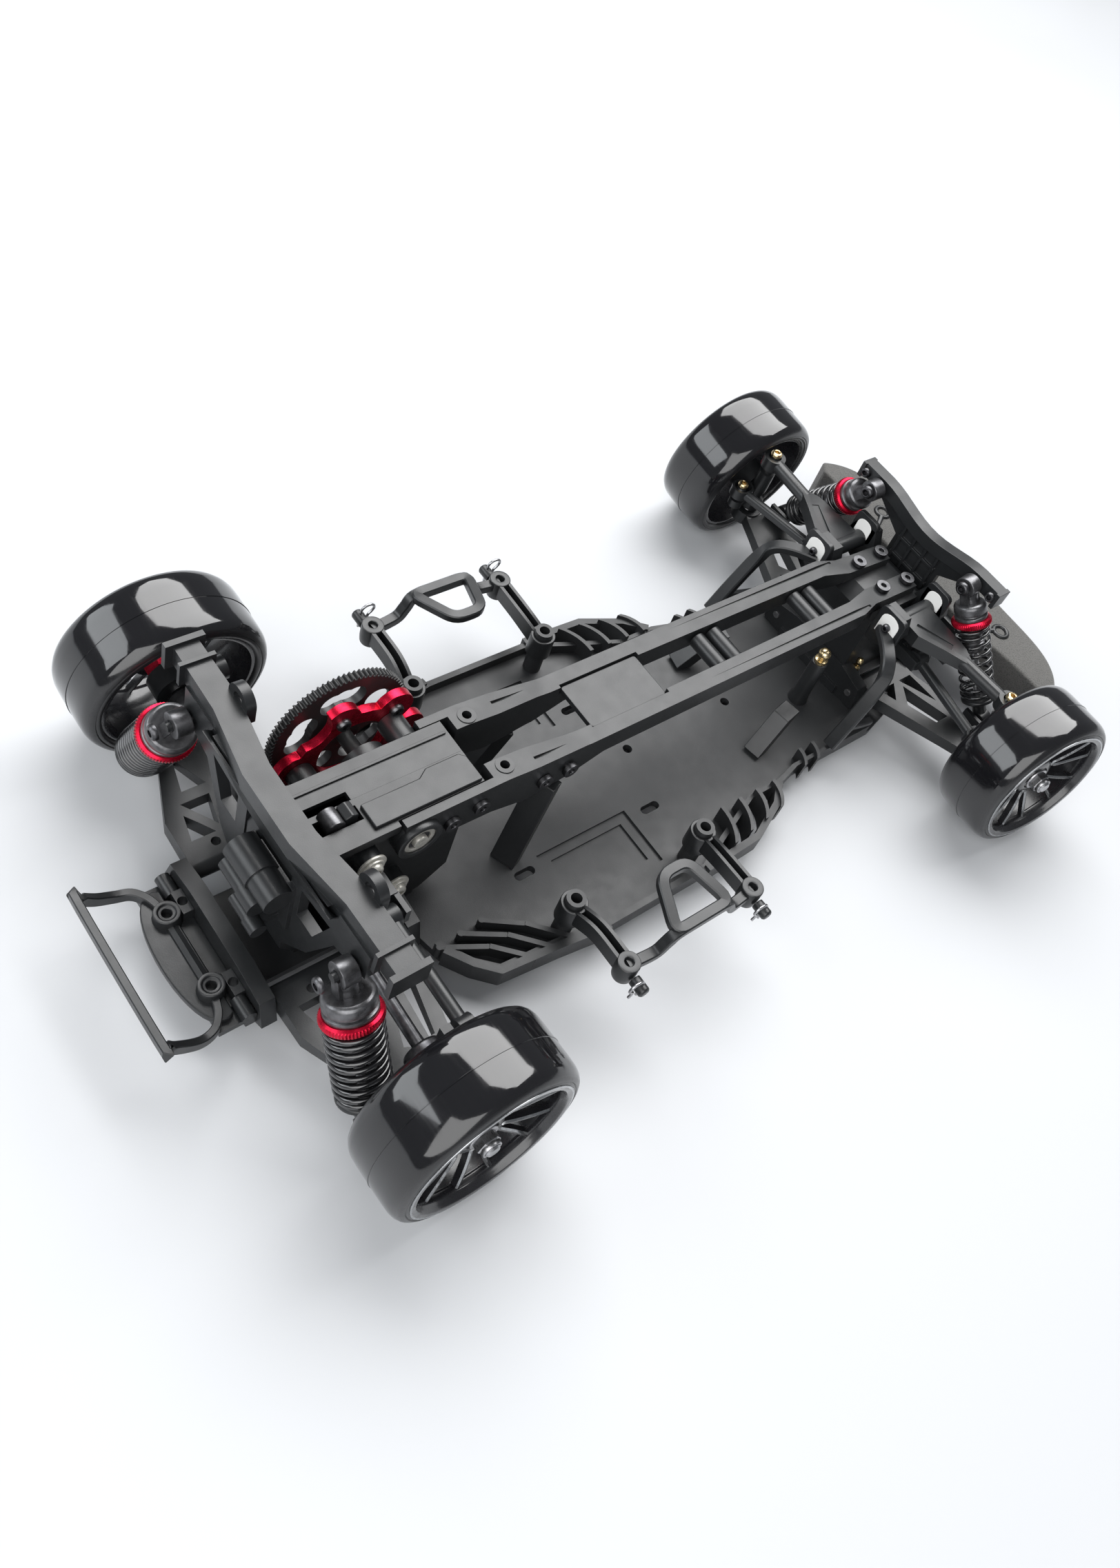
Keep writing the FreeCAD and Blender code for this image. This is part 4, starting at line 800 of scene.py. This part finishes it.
def shock_barrel(node, matrix, cap):
    """Threaded barrel inside the spring."""
    bm = bmesh.new()
    r = cap - 2.0
    outline = [(1.7, 12), (r, 12)]
    for i in range(THREAD_TURNS):
        z = RING_END + 0.4 + i * THREAD_PITCH
        outline += [(r, z), (r - 0.35, z + 0.35), (r, z + 0.7)]
    outline += [(r, BARREL_END - 0.4), (r - 0.4, BARREL_END), (1.7, BARREL_END)]
    lathe(bm, outline, "Z", 56)
    node_piece(node + ".barrel", node, bm, matrix, "black_aluminium", 30)


def shock_lower(end, side, matrix):
    """Steel shaft with the lower spring cup and ball end."""
    node = end + "_shock_shaft_" + side
    reach = extent_in(node, matrix)[1]
    z_eye = reach.z - 4.0
    cup_r = reach.y
    bm = bmesh.new()
    rod = [(0.01, SHAFT_START), (1.55, SHAFT_START), (1.55, z_eye - 8), (0.01, z_eye - 8)]
    lathe(bm, rod, "Z", 28)
    node_piece(node + ".shaft", node, bm, matrix, "steel", 30, stands_in=True)
    bm = bmesh.new()
    cup = [(1.6, z_eye - 11.5), (3.4, z_eye - 11.5), (3.8, z_eye - 10.5), (cup_r - 0.6, z_eye - 10.5),
           (cup_r, z_eye - 9.9), (cup_r, z_eye - 9.0), (cup_r - 1.2, z_eye - 8.5), (3.4, z_eye - 8.2),
           (2.6, z_eye - 6.5), (2.9, z_eye - 3.2), (1.6, z_eye - 3.0)]
    lathe(bm, rounded(cup, 0.3, 2), "Z", 56)
    eye(bm, z_eye, 3.95, 2.55, 1.85)
    node_piece(node + ".cup", node, bm, matrix, "composite", 30)


def coil_path(z0, z1, r, wire, turns):
    """Helix with a closed turn at each end."""
    steps = int(turns * 40)
    path = []
    dead_rise = wire * DEAD_PITCH
    live = turns - 2 * DEAD_TURNS
    travel = (z1 - z0) - 2 * DEAD_TURNS * dead_rise - wire
    for i in range(steps + 1):
        turn = turns * i / steps
        height = (min(turn, DEAD_TURNS) + max(0.0, turn - turns + DEAD_TURNS)) * dead_rise
        height += travel * max(0.0, min(1.0, (turn - DEAD_TURNS) / live))
        a = 2 * math.pi * turn
        path.append(Vector((r * math.cos(a), r * math.sin(a), z0 + wire / 2 + height)))
    return path


def spring(end, side, matrix):
    """Coil spring between its seats."""
    node = end + "_shock_spring_" + side
    lo, hi = extent_in(node, matrix)
    wire = WIRE[end]
    bm = bmesh.new()
    tube(bm, coil_path(lo.z, hi.z, hi.y - wire / 2, wire, COIL_TURNS[end]), wire / 2, 12)
    made = node_piece(node + ".coil", node, bm, matrix, "spring_steel", 60, stands_in=True)
    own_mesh(made)


def shocks():
    """The four shock absorbers, each built from its CAD sizes."""
    for end in ENDS:
        for side in SIDES:
            node = end + "_shock_body_" + side
            matrix = shock_frame(end, side)
            ring_r = extent_in(node, matrix)[1].y
            cap = ring_r - RING_STANDS_OUT
            shock_cap(node, matrix, cap)
            shock_ring(node, matrix, ring_r, cap)
            shock_barrel(node, matrix, cap)
            shock_lower(end, side, matrix)
            spring(end, side, matrix)


# Screws and the small pieces of the chassis
def screw(name, at, direction, r, body="chassis", paint="dark_steel", washers=()):
    """Button-head hex socket screw on a stack of washers; at is its seat in the car's frame, in mm."""
    matrix = facing(Vector(at) * MM, z_axis=Vector(direction), x_axis=Vector((0.3, 0.9, 0.31)))
    bm = bmesh.new()
    base = 0.0
    for outer, thick in washers:
        washer = [(1.3, base), (outer, base), (outer, base + thick), (1.3, base + thick)]
        lathe(bm, rounded(washer, 0.18, 2), "Z", 44)
        base += thick
    socket_r = r * 0.46
    head = [(socket_r, base), (r, base), (r, base + 0.7), (r * 0.93, base + 1.2), (r * 0.78, base + 1.6),
            (socket_r + 0.25, base + 1.7), (socket_r, base + 1.6)]
    lathe(bm, head, "Z", 44)
    socket = [[bm.verts.new((a, b, z)) for a, b in six_points(socket_r)] for z in (base + 1.65, base + 0.3)]
    join_rings(bm, *socket)
    bm.faces.new(socket[1])
    piece(name, bm, matrix, [PAINT[paint]], body, 30)


def screws():
    """Button screws on the gearbox, the plate and the tower, and the balls of the front knuckles."""
    backwards, right_way = (-1, 0, 0), (0, -1, 0)
    case_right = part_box("gearbox_case")[0].y / MM
    stack = ((4.6, 0.8), (3.5, 0.8))
    for i, (x, z) in enumerate(((-119, 52), (-107.5, 31))):
        # These screws and washers use the paler copy of steel: painted light on the gearbox's right wall, which
        # faces away from the lamps
        screw(f"case_screw_{i}", (x, case_right, z), right_way, 2.5, paint="painted_lit_steel", washers=stack)
    plate_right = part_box("motor_plate")[0].y / MM
    for i, (x, z) in enumerate(((-107.5, 66), (-89, 62.5))):
        screw(f"plate_screw_{i}", (x, plate_right, z), right_way, 2.3)
    tower_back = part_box("front_shock_tower")[0].x / MM
    for side, sign in SIGN_OF.items():
        knuckle = "front_knuckle_" + side
        screw("tower_pin_" + side, (tower_back, sign * 27, 69), backwards, 2.7)
        screw("tower_outer_" + side, (136.9, sign * 35.2, 69.6), backwards, 2.1)
        screw("upper_ball_" + side, (125, sign * 68.5, 52.8), UPWARDS, 2.3, knuckle, "gold")
        screw("steer_ball_" + side, (114.5, sign * 70, 38.0), UPWARDS, 2.2, knuckle, "gold")
        screw("link_ball_" + side, (-152.6, sign * 44, 61), backwards, 2.5)


def solid_prism(outline, low, high, edge, axes="xyz"):
    """A bevelled prism: the outline lies in the first two named axes and low to high is the third."""
    bm = bmesh.new()
    order = ["xyz".index(a) for a in axes]
    rings = []
    for level in (low, high):
        ring = []
        for p in outline:
            co = [0.0, 0.0, 0.0]
            co[order[0]], co[order[1]], co[order[2]] = p[0], p[1], level
            ring.append(bm.verts.new(co))
        rings.append(ring)
    join_rings(bm, *rings)
    bm.faces.new(rings[0])
    bm.faces.new(list(reversed(rings[1])))
    bmesh.ops.recalc_face_normals(bm, faces=bm.faces)
    round_edges(bm, PRISM_SHARP_ANGLE, edge, 3)
    return bm


def fixed_prism(name, bm, paint):
    """A prism on the chassis, in its paint."""
    weighted(chassis_piece(name, bm, IN_PLACE, paint, 32))


def case_top():
    """Raised cover, ridge, guide roller and clip on the gearbox's top."""
    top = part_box("gearbox_case")[1].z / MM
    cover = [(-116.2, -3.2), (-96.5, -3.2), (-93.0, -1.0), (-81.5, -1.0), (-79.6, -2.8), (-79.6, -11.7),
             (-116.2, -11.7)]
    fixed_prism("case_cover", solid_prism(cover, top - 0.4, top + 1.1, 0.5), "composite")
    ridge = [(-131, 7.2), (-80, 7.2), (-80, 8.2), (-131, 8.2)]
    fixed_prism("case_ridge", solid_prism(ridge, top - 0.3, top + 0.35, 0.25), "composite")
    bm = bmesh.new()
    lathe(bm, rounded([(0.01, -6.6), (3.1, -6.6), (3.1, -0.4), (0.01, -0.4)], 0.5, 3), "Y", 40)
    chassis_piece("case_roller", bm, moved(ROLLER_X, 0, top - 0.6), "black_aluminium")
    back, front = ROLLER_X + 2.9, ROLLER_X + 7.1
    clip = [(back, top - 2), (back, top + 1.6), (back + 2.2, top + 2.6), (front, top + 1.8), (front, top - 2)]
    fixed_prism("case_clip", solid_prism(clip, -6.2, -0.9, 0.4, "xzy"), "composite")


def right_bearing():
    """Rings on the gearbox's right boss, each with its radii and how far it reaches."""
    inside = CASE_RIGHT + 0.6
    # The race and end rings use the paler copy of steel: painted light on the boss, which faces away from the
    # lamps
    rings = (("collar", 7.5, 5.3, 1.6, "composite", "composite"),
             ("race", 5.3, 3.7, 1.1, "painted_lit_steel", "steel"),
             ("shield", 3.8, 2.3, 0.6, "dark_steel", "steel"),
             ("end", 2.4, 0.01, 1.9, "painted_lit_steel", "steel"))
    for name, outer, inner, reach, paint, slot in rings:
        bm = bmesh.new()
        face = CASE_RIGHT - reach
        lathe(bm, rounded([(inner, inside), (outer, inside), (outer, face), (inner, face)], 0.3, 2), "Y", 56)
        chassis_piece("bearing_" + name, bm, moved(BEARING_X, 0, BEARING_Z), paint)


def beam_skirt():
    """Curved sheet that hangs from the beam's rear edge between the shock mounts."""
    bm = bmesh.new()
    rows = []
    steps, levels = 28, 6
    end_drop, middle_drop, lean, belly, thick = 2.0, 10.5, 2.6, 0.5, 0.9
    for inside in (0, 1):
        grid = []
        for i in range(steps + 1):
            t = -1 + 2 * i / steps
            drop = end_drop + middle_drop * (1 - t * t) ** 0.8
            column = []
            for k in range(levels + 1):
                d = k / levels
                x = SKIRT_X - lean * (1 - d) ** 2 - belly * math.sin(math.pi * d) + thick * inside
                column.append(bm.verts.new((x, SKIRT_HALF * t, SKIRT_TOP - drop * d)))
            grid.append(column)
        rows.append(grid)
    outer, inner = rows
    for i in range(steps):
        for k in range(levels):
            bm.faces.new((outer[i][k], outer[i + 1][k], outer[i + 1][k + 1], outer[i][k + 1]))
            bm.faces.new((inner[i][k], inner[i][k + 1], inner[i + 1][k + 1], inner[i + 1][k]))
        bm.faces.new((outer[i][levels], outer[i + 1][levels], inner[i + 1][levels], inner[i][levels]))
        bm.faces.new((outer[i][0], inner[i][0], inner[i + 1][0], outer[i + 1][0]))
    for i in (0, steps):
        for k in range(levels):
            bm.faces.new((outer[i][k], outer[i][k + 1], inner[i][k + 1], inner[i][k]))
    chassis_piece("beam_skirt", bm, IN_PLACE, "composite", 50)


def d_plate(y, z, half_w, low, high):
    """Outline in y and z of a plate with a rounded top."""
    arc = []
    for i in range(9):
        a = math.pi * i / 8
        arc.append((y + half_w * math.cos(a), z + high + half_w * 0.75 * math.sin(a)))
    return [(y + half_w, z - low)] + arc + [(y - half_w, z - low)]


def front_inserts():
    """White bearing inserts in dark frames on the faces of the upper arm brackets."""
    spots = (("rear", 104.5, 21, 53, 6.2, 7), ("front", 131.3, 20.5, 55.5, 5.6, 5.5))
    square = ((-1, -1), (1, -1), (1, 1), (-1, 1))
    for side, sign in SIGN_OF.items():
        for name, x, y, z, half_w, half_h in spots:
            corners = [(sign * (y + a * half_w), z + b * half_h) for a, b in square]
            surround = solid_prism(rounded(corners, 2.4, 4), x - 2.1, x, 0.3, "yzx")
            fixed_prism(f"insert_frame_{name}_{side}", surround, "composite")
            outline = d_plate(sign * y, z, half_w - 2, half_h - 2, half_h - 4.6)
            inlay = solid_prism(outline, x - 2.4, x - 2, 0.12, "yzx")
            fixed_prism(f"insert_{name}_{side}", inlay, "white_nylon")
            if name == "rear":
                screw(f"insert_screw_{side}", (x - 2.4, sign * y, z), (-1, 0, 0), 1.6)


def servo_studs():
    """Gilt ball studs on the posts where the steering servo's links would fit; scale thins a post."""
    spots = (("rear", 86.7, -12, 7.5, 33, 1), ("front", 111.3, -16, 11.5, 20, 0.6))
    for name, x, y, foot, top, scale in spots:
        post = [(0, foot), (4.2, foot), (3.4, foot + 4.5), (3.2, top - 2), (0, top - 2)]
        collar = [(0, top - 2), (2.6, top - 2), (2.6, top - 0.6), (1.4, top - 0.2), (1.4, top + 0.6)]
        ball = [(2.2, top + 1.4), (2.5, top + 2.4), (2.2, top + 3.4), (1.2, top + 4.2), (0, top + 4.2)]
        for part, profile, paint, slot in (("stud_post_", rounded(post, 0.4, 2), "composite", "composite"),
                                           ("stud_", collar + ball, "gold", "steel")):
            bm = bmesh.new()
            lathe(bm, [(max(0.01, r * scale), z) for r, z in profile], "Z", 32)
            chassis_piece(part + name, bm, moved(x, y, 0), paint, 40)


def mirrored_run(points):
    """A path through the points on the left and back through their mirror images."""
    left = [Vector(p) for p in points]
    return left + [Vector((p.x, -p.y, p.z)) for p in reversed(left)]


def bumper_pad(low):
    """Pad with a straight front and a curved back."""
    front, back, half = -163, -172, 23
    steps = 20
    curve = []
    for i in range(steps + 1):
        a = math.pi * (i / steps - 0.5)
        curve.append((front + (back - front) * math.cos(a) ** 0.8, half * math.sin(a)))
    return solid_prism([(front + 1.8, 1 - half)] + curve + [(front + 1.8, half - 1)], low, low + 2.6, 0.5)


def rear_bumper():
    """Curved pad with two screw bosses and a ridge between them, and a flat strip that rises behind it."""
    node = "rear_bumper"
    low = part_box(node)[0].z / MM
    bm = bumper_pad(low)
    ridge = [(-165.2, low + 2.4), (-162, low + 2.4), (-162.2, low + 3.6), (-163.6, low + 4.2),
             (-165, low + 3.6)]
    ends = [[bm.verts.new((x, y, z)) for x, z in ridge] for y in (-10, 10)]
    join_rings(bm, *ends)
    for end in ends:
        bm.faces.new(end)
    boss = [(1.5, low + 0.1), (4.5, low + 0.1), (4.1, low + 2.8), (3.9, low + 6.2), (2.7, low + 6.2),
            (2.5, low + 5.6), (1.5, low + 5.6)]
    for sign in SIGN_OF.values():
        turned_at(bm, rounded(boss, 0.35), Vector((BUMPER_BOSS_X, sign * BUMPER_BOSS_Y, 0)))
    strip_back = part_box(node)[0].x / MM + 1.6
    run = ((-164.0, 16.6, 13.6), (-165.5, 21.0, 13.6), (-168.5, 24.6, 13.8), (-173.0, 25.9, 14.2),
           (-178.5, 25.9, 17.4), (strip_back + 1.2, 25.6, 21.8), (strip_back, 23.9, 22.9))
    sweep(bm, smooth_path(mirrored_run(run), 5), octagon(1.2, 1.9, 0.3), UPWARDS)
    node_piece(node + ".loop", node, bm, IN_PLACE, "composite", 32, stands_in=True)


def front_braces():
    """Bent struts from the bulkhead's brackets down to the deck, each with a low stay."""
    node = "front_braces"
    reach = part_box(node)[1].x / MM
    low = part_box(node)[0].z / MM
    leg = ((reach, 19, low + 38.3), (98.5, 27, low + 37.2), (94.6, 32.8, low + 34.4), (91.8, 35.4, low + 28),
           (85, 36.5, low + 14), (78.6, 37, low + 0.4))
    stay = ((85, 36.4, low + 7.5), (94, 36.4, low + 3.8), (reach - 1, 36.4, low + 1))
    for side, sign in SIGN_OF.items():
        bm = bmesh.new()
        for run, w, t in ((leg, 2.6, 1.7), (stay, 1.5, 1.3)):
            sweep(bm, smooth_run(run, sign, 6), octagon(w, t, 0.5), UPWARDS)
        node_piece("brace_" + side, node, bm, IN_PLACE, "composite", 32, stands_in=side == "left")


def front_hooks():
    """Small rings on stems beside the front foam."""
    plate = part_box("front_bulkhead")[1].x / MM
    stem = ((plate - 1.5, 27, 27), (plate + 4, 31, 31.5), (plate + 9.6, 34.6, 33))
    ring = [(3.0 + math.cos(a), math.sin(a)) for a in (math.pi * k / 6 for k in range(12))]
    for side, sign in SIGN_OF.items():
        bm = bmesh.new()
        tube(bm, smooth_run(stem, sign, 5), 1.3, 14)
        turned_at(bm, ring, Vector((plate + 12.3, sign * 36.4, 33)), "Z", 36)
        chassis_piece("hook_" + side, bm, IN_PLACE, "composite", 40)


def hole_places(name):
    """The two x places and the y distance of a bolt pattern of the record, in mm."""
    pattern = next(m for m in frame["record"]["mounts"] if m["name"] == name)
    x = pattern["pos_m"][0] / MM
    reach = pattern["dims"]["spacing_x_mm"] / 2
    return (x - reach, x + reach), pattern["dims"]["spacing_y_mm"] / 2


def outer_bar(bm, middle, sign, end_y, low, top):
    """Outer bar of a side mount: two halves that step up to the middle, and the loop that leans inwards."""
    strip = octagon(1.9, 1.6, 0.4)
    step = ((27, 0, 10.5), (17, 1, 11), (13.6, 1.2, 15), (10.5, 1.4, 19), (0, 1.4, 19.4))
    for way in (-1, 1):
        path = [Vector((middle + way * x, sign * (end_y + y), low + z)) for x, y, z in step]
        sweep(bm, smooth_path(path, 5), strip, UPWARDS)
    base = end_y + 1.4
    inner = base - LOOP_DEPTH
    ring = []
    for x, y in rounded([(-11.5, base), (-5.5, inner), (5.5, inner), (11.5, base)], 4, 5):
        ring.append(Vector((middle + x, sign * y, top - 2 - 3.4 * (y - inner) / LOOP_DEPTH)))
    sweep(bm, ring, strip, UPWARDS, closed=True)


def side_mounts():
    """Channel arms from the deck posts to an outer bar that steps up into an open loop."""
    node = "side_body_mounts"
    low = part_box(node)[0].z / MM
    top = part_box(node)[1].z / MM
    posts, post_y = hole_places("deck_post_holes")
    ends, end_y = hole_places("side_mount_holes")
    collar = rounded([(3.3, low), (4.6, low), (4.6, low + 9.4), (3.3, low + 9.4)], 0.5)
    boss = rounded([(1.5, low + 5), (3.6, low + 5), (3.9, low + 8), (3.9, low + 13.4),
                    (1.5, low + 13.4)], 0.6)
    for side, sign in SIGN_OF.items():
        bm = bmesh.new()
        for post, end in zip(posts, ends):
            run = ((post, post_y + 3, low + 6), (end, post_y + 12, low + 9.5), (end, end_y - 2.5, low + 10))
            sweep(bm, smooth_run(run, sign, 5), CHANNEL, UPWARDS)
            turned_at(bm, collar, Vector((post, sign * post_y, 0)))
            turned_at(bm, boss, Vector((end, sign * end_y, 0)))
        outer_bar(bm, sum(ends) / 2, sign, end_y, low, top)
        node_piece("side_mount_" + side, node, bm, IN_PLACE, "composite", 32, stands_in=side == "left")


def clips():
    """Black pins at the ends of the side mounts, each with a bent spring clip through it."""
    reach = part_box("body_clips")[1].y / MM
    shank = [(0.01, PIN_INNER_END), (2.1, PIN_INNER_END), (2.1, reach - 0.6), (1.5, reach), (0.01, reach)]
    bends = ((0, -4.6), (0, 1.5), (0.2, 3.6), (1.4, 4.9), (3.2, 5.2), (4.8, 4.4), (5.3, 2.8), (4.4, 1.3),
             (3.3, 0.2), (3.1, -1.2), (3.9, -2.8))
    wire = smooth_path([Vector((x, CLIP_Y, z)) for x, z in bends], 5)
    for side, sign in SIGN_OF.items():
        for x in PIN_X:
            turn = Matrix.Rotation(math.pi if sign < 0 else 0.0, 4, "Z")
            matrix = moved(x, 0, PIN_Z) @ turn
            bm = bmesh.new()
            lathe(bm, rounded(shank, 0.3, 2), "Y", 28)
            pin = chassis_piece(f"clip_pin_{side}_{abs(x)}", bm, matrix, "composite", 35)
            bm = bmesh.new()
            tube(bm, wire, 0.5, 10)
            chassis_piece(f"clip_wire_{side}_{abs(x)}", bm, matrix, "steel", 60)
            if side == "left" and x == PIN_X[0]:
                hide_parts("body_clips")


def foam():
    """Crescent of foam with eased edges."""
    node = "front_bumper_foam"
    bm = cad_mesh(node)
    round_edges(bm, FOAM_SHARP_ANGLE, FOAM_EDGE, 3, 0.6)
    made = node_piece(node + ".block", node, bm, IN_PLACE, "foam", stands_in=True)
    weighted(made)


# Stage
def camera():
    """Camera at its place and turn, looking down and forwards at the car."""
    data = bpy.data.cameras.new("camera")
    made = bpy.data.objects.new("camera", data)
    bpy.context.scene.collection.objects.link(made)
    az, el, roll = (math.radians(a) for a in (CAMERA_AZIMUTH, CAMERA_ELEVATION, CAMERA_ROLL))
    ahead = Vector((math.cos(el) * math.cos(az), math.cos(el) * math.sin(az), -math.sin(el)))
    right = ahead.cross(UPWARDS).normalized()
    up = right.cross(ahead)
    x = right * math.cos(roll) + up * math.sin(roll)
    y = up * math.cos(roll) - right * math.sin(roll)
    made.matrix_world = Matrix.Translation(CAMERA_AT) @ Matrix((x, y, -ahead)).transposed().to_4x4()
    data.sensor_width = SENSOR_W
    data.lens = CAMERA_LENS
    data.shift_x, data.shift_y = CAMERA_SHIFT
    data.clip_start = 0.01
    bpy.context.scene.camera = made


def soft_light(name, at, size, power, tint):
    """Rectangular area light turned towards the car."""
    data = bpy.data.lights.new(name, "AREA")
    data.shape = "RECTANGLE"
    data.size, data.size_y = size
    data.energy = power
    data.color = tint
    made = bpy.data.objects.new(name, data)
    bpy.context.scene.collection.objects.link(made)
    made.location = at
    made.rotation_euler = (LIGHT_AIM - Vector(at)).to_track_quat("-Z", "Y").to_euler()


def stage():
    """Floor, world and lights."""
    bm = bmesh.new()
    bmesh.ops.create_grid(bm, x_segments=1, y_segments=1, size=FLOOR_HALF)
    mesh = bpy.data.meshes.new("floor")
    bm.to_mesh(mesh)
    bm.free()
    mesh.materials.append(pale_floor())
    floor = bpy.data.objects.new("floor", mesh)
    bpy.context.scene.collection.objects.link(floor)
    world = bpy.data.worlds.new("studio")
    bpy.context.scene.world = world
    world.use_nodes = True
    sky = world.node_tree.nodes["Background"].inputs
    sky["Color"].default_value = WORLD_COLOUR
    sky["Strength"].default_value = WORLD_STRENGTH
    for name, settings in LIGHTS.items():
        soft_light(name, *settings)
    bpy.context.scene.view_settings.view_transform = "Standard"


def main():
    """Build every piece and the stage."""
    finish_cad_parts()
    for end in ENDS:
        for side in SIDES:
            tyre(end, side)
            rim(end, side)
    shocks()
    screws()
    case_top()
    right_bearing()
    beam_skirt()
    front_inserts()
    servo_studs()
    side_mounts()
    rear_bumper()
    front_braces()
    front_hooks()
    clips()
    foam()
    camera()
    stage()


main()
